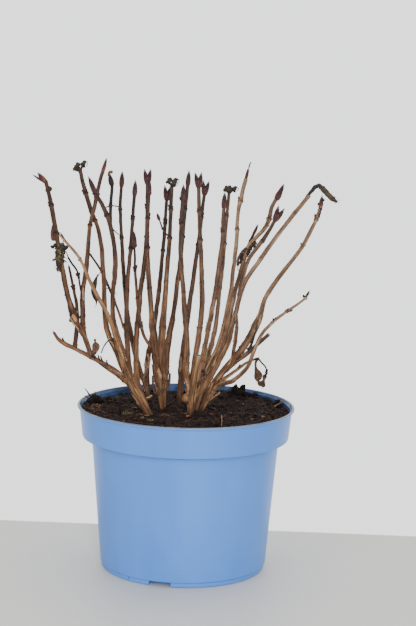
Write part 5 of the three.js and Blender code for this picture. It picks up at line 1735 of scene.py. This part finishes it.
def bark_look(name, spread, patches, grey_share):
    """Bark in long streaks, warmer low down and on the left, greyer high up and on the right."""
    look = Look(name)
    streak = look.streaks(0.62, 0.62, 0.03, detail=4.0, roughness=0.6)
    fine = look.streaks(2.6, 2.6, 0.1, roughness=0.6)
    tone = look.sum(look.tone(), streak, spread * 2.2)
    tone = look.sum(tone, fine, spread * 1.2)
    tone = look.sum(tone, look.streaks(0.25, 0.25, 0.06), spread * patches)
    across = look.node("ShaderNodeVectorMath", operation="DOT_PRODUCT")
    across.inputs[1].default_value = TINT_DIRECTION
    look.link(look.object_place(), across.inputs[0])
    side = look.stretched(across.outputs["Value"], WARM_SIDE, COOL_SIDE)
    tint = look.blend(side, WARM_TINT, COOL_TINT)
    base = look.blend(1.0, look.ramp(tone, BARK_RAMP), tint, "MULTIPLY")
    grey = look.ramp(look.streaks(1.6, 1.6, 0.8, detail=2.0), [(0.58, 0.0), (0.75, grey_share)])
    look.colour(look.blend(grey, base, LICHEN_COLOUR))
    return look.finish(streak, 0.62, 0.88, look.sum(streak, fine, 0.8), 0.5, 0.0005, specular=0.3)


def bud_look():
    """Dull purple-brown scales with fine veins."""
    look = Look("bud_scales")
    veins = look.streaks(2.6, 1.0, 0.16)
    tone = look.sum(look.tone(), veins, 1.3)
    look.colour(look.ramp(look.sum(tone, look.streaks(0.5), 1.0), BUD_RAMP))
    return look.finish(veins, 0.55, 0.8, veins, 0.4, 0.0004, specular=0.3)


def dried_look(name, ramp, sheen=0.0):
    """Anything dead or dry, mottled and matt."""
    look = Look(name)
    veins = look.streaks(1.2, 1.0, 0.35, detail=4.0)
    tone = look.sum(look.tone(), veins, 1.4)
    look.colour(look.ramp(look.sum(tone, look.cloud(900.0), 1.2), ramp))
    return look.finish(veins, 0.7, 0.92, veins, 0.5, 0.0005, sheen=sheen)


def wood_look():
    """Pale cut wood."""
    look = Look("cut_wood")
    mottle = look.cloud(700.0, 700.0, 300.0, detail=4.0)
    look.colour(look.ramp(mottle, WOOD_RAMP))
    return look.finish(mottle, 0.7, 0.9, mottle, 0.4, 0.0003)


def soil_look(name):
    """Dark, crumbly, matt compost."""
    look = Look(name)
    clumps = look.cloud(170.0, detail=5.0, roughness=0.65)
    grains = look.cloud(1300.0, detail=4.0, roughness=0.6)
    tone = look.sum(clumps, grains, 0.7)
    look.colour(look.ramp(look.sum(tone, look.tone(), 0.3), SOIL_RAMP))
    return look.finish(grains, 0.78, 1.0, look.sum(grains, clumps, 0.5), 0.8, 0.0012, specular=0.2)


def pot_look():
    """Light-blue plastic, scuffed, worn grey along the rim, and dark where the mesh says so: dirty inside,
    painted shade under the collar, dirt and painted shade in the foot seam.
    """
    look = Look("pot_plastic")
    specks = look.cloud(420.0, 420.0, 260.0, detail=4.0)
    base = look.ramp(look.sum(look.cloud(14.0, 14.0, 5.0), specks, 0.12), POT_RAMP)
    scuffs = look.cloud(90.0, 90.0, 620.0, detail=5.0, roughness=0.7)
    worn = look.blend(look.ramp(scuffs, [(0.62, 0.0), (0.8, 0.3)]), base, SCUFF_COLOUR)
    place = look.node("ShaderNodeSeparateXYZ")
    look.link(look.object_place(), place.inputs[0])
    rim = look.stretched(place.outputs["Z"], (POT_HEIGHT - 1.5) * MM, (POT_HEIGHT - 0.6) * MM, 0.0, 0.85)
    edged = look.blend(rim, worn, look.ramp(scuffs, RIM_RAMP))
    # Mottled dirt inside the pot, and painted shade under the collar and in the foot seam, where the mesh's
    # tone says so.
    dirt_and_shade_mottle = look.cloud(55.0, 55.0, 90.0, detail=5.0, roughness=0.7)
    look.colour(look.blend(look.tone(), edged, look.ramp(dirt_and_shade_mottle, DIRT_AND_SHADE_RAMP)))
    return look.finish(specks, 0.4, 0.56, specks, 0.12, 0.0004, specular=0.22, coat=0.25, coat_roughness=0.25)


def nodes_from(start):
    return [name for name in sorted(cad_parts) if name.startswith(start)]


old_bark, young_bark = bark_look("old_bark", 0.5, 1.5, 0.3), bark_look("young_bark", 0.38, 1.1, 0.15)
stool_bark.build("stool_bark", old_bark, "bark", nodes_from("stool_"))
bough_bark.build("bough_bark", old_bark, "bark", nodes_from("bough_"))
twig_wood.build("twig_wood", young_bark, "twigs", nodes_from("twigs_"))
buds.build("bud_scales", bud_look(), "twigs")
scars.build("leaf_scars", dried_look("leaf_scars", STRIP_RAMP), "twigs")
dried.build("dried_leaves_and_stalks", dried_look("dried_leaf", DRIED_RAMP, 0.1), "twigs")
husks.build("dried_husks", dried_look("dried_husk", HUSK_RAMP), "twigs")
cuts.build("pruned_faces", wood_look(), "bark")
strips.build("peeling_bark", dried_look("peeling_bark", STRIP_RAMP), "bark")

make_pot(pot_look())
make_compost(soil_look("compost"))
for k, (scatter, name, look) in enumerate((
        (scatter_crumbs, "compost_crumbs", soil_look("compost_crumbs")),
        (scatter_fibres, "compost_fibres", dried_look("root_fibre", FIBRE_RAMP)),
        (scatter_chips, "bark_chips", dried_look("bark_chip", CHIP_RAMP)),
        (scatter_moss, "moss_tufts", dried_look("moss", MOSS_RAMP, 0.2)))):
    parts = Parts()
    scatter(parts, seeded(SCATTER_SEED + k))
    parts.build(name, look, "compost")


def make_floor():
    """A pale table top that ends a little way behind the pot."""
    wide = (-FLOOR_REACH, FLOOR_REACH, FLOOR_REACH, -FLOOR_REACH)
    deep = (-FLOOR_REACH, -FLOOR_REACH, FLOOR_BACK, FLOOR_BACK)
    mesh = bpy.data.meshes.new("floor")
    mesh.from_pydata([(x, y, FLOOR_DROP) for x, y in zip(wide, deep)], [], [(0, 1, 2, 3)])
    look = Look("pale_floor")
    mottle = look.cloud(9.0)
    look.colour(look.ramp(mottle, FLOOR_RAMP))
    look.finish(mottle, 0.5, 0.6)
    mesh.materials.append(look.material)
    floor = in_scene("floor", mesh)


def make_light(name, place, size, power, colour):
    data = bpy.data.lights.new(name, "AREA")
    data.shape = "RECTANGLE"
    data.size, data.size_y = size
    data.energy = power
    data.color = colour
    light = in_scene(name, data)
    light.location = place
    light.rotation_euler = (Vector(LIGHT_AIM) - Vector(place)).to_track_quat("-Z", "Y").to_euler()


def make_world():
    """An even pale surround, brightest behind the plant."""
    world = bpy.data.worlds.new("studio")
    world.use_nodes = True
    tree = world.node_tree
    background = tree.nodes["Background"]
    background.inputs["Color"].default_value = (*linear(WORLD_COLOUR), 1)
    heading = tree.nodes.new("ShaderNodeSeparateXYZ")
    strength = tree.nodes.new("ShaderNodeMapRange")
    for socket, value in WORLD_STRENGTH.items():
        strength.inputs[socket].default_value = value
    tree.links.new(tree.nodes.new("ShaderNodeTexCoord").outputs["Generated"], heading.inputs[0])
    tree.links.new(heading.outputs["Y"], strength.inputs["Value"])
    tree.links.new(strength.outputs["Result"], background.inputs["Strength"])
    bpy.context.scene.world = world


def make_camera():
    ahead = Vector((math.sin(CAMERA_YAW) * math.cos(CAMERA_PITCH),
                    math.cos(CAMERA_YAW) * math.cos(CAMERA_PITCH), -math.sin(CAMERA_PITCH)))
    level = Vector((math.cos(CAMERA_YAW), -math.sin(CAMERA_YAW), 0))
    upright = level.cross(ahead)
    right = level * math.cos(CAMERA_ROLL) + upright * math.sin(CAMERA_ROLL)
    up = upright * math.cos(CAMERA_ROLL) - level * math.sin(CAMERA_ROLL)
    data = bpy.data.cameras.new("camera")
    data.lens = CAMERA_LENS
    data.sensor_width = SENSOR_WIDTH
    data.clip_end = FAR_END
    camera = in_scene("camera", data)
    turn = Matrix((right, up, -ahead)).transposed().to_4x4()
    camera.matrix_world = Matrix.Translation(CAMERA_PLACE) @ turn
    bpy.context.scene.camera = camera


make_floor()
for name, row in LIGHTS.items():
    make_light(name, *row)
make_world()
make_camera()
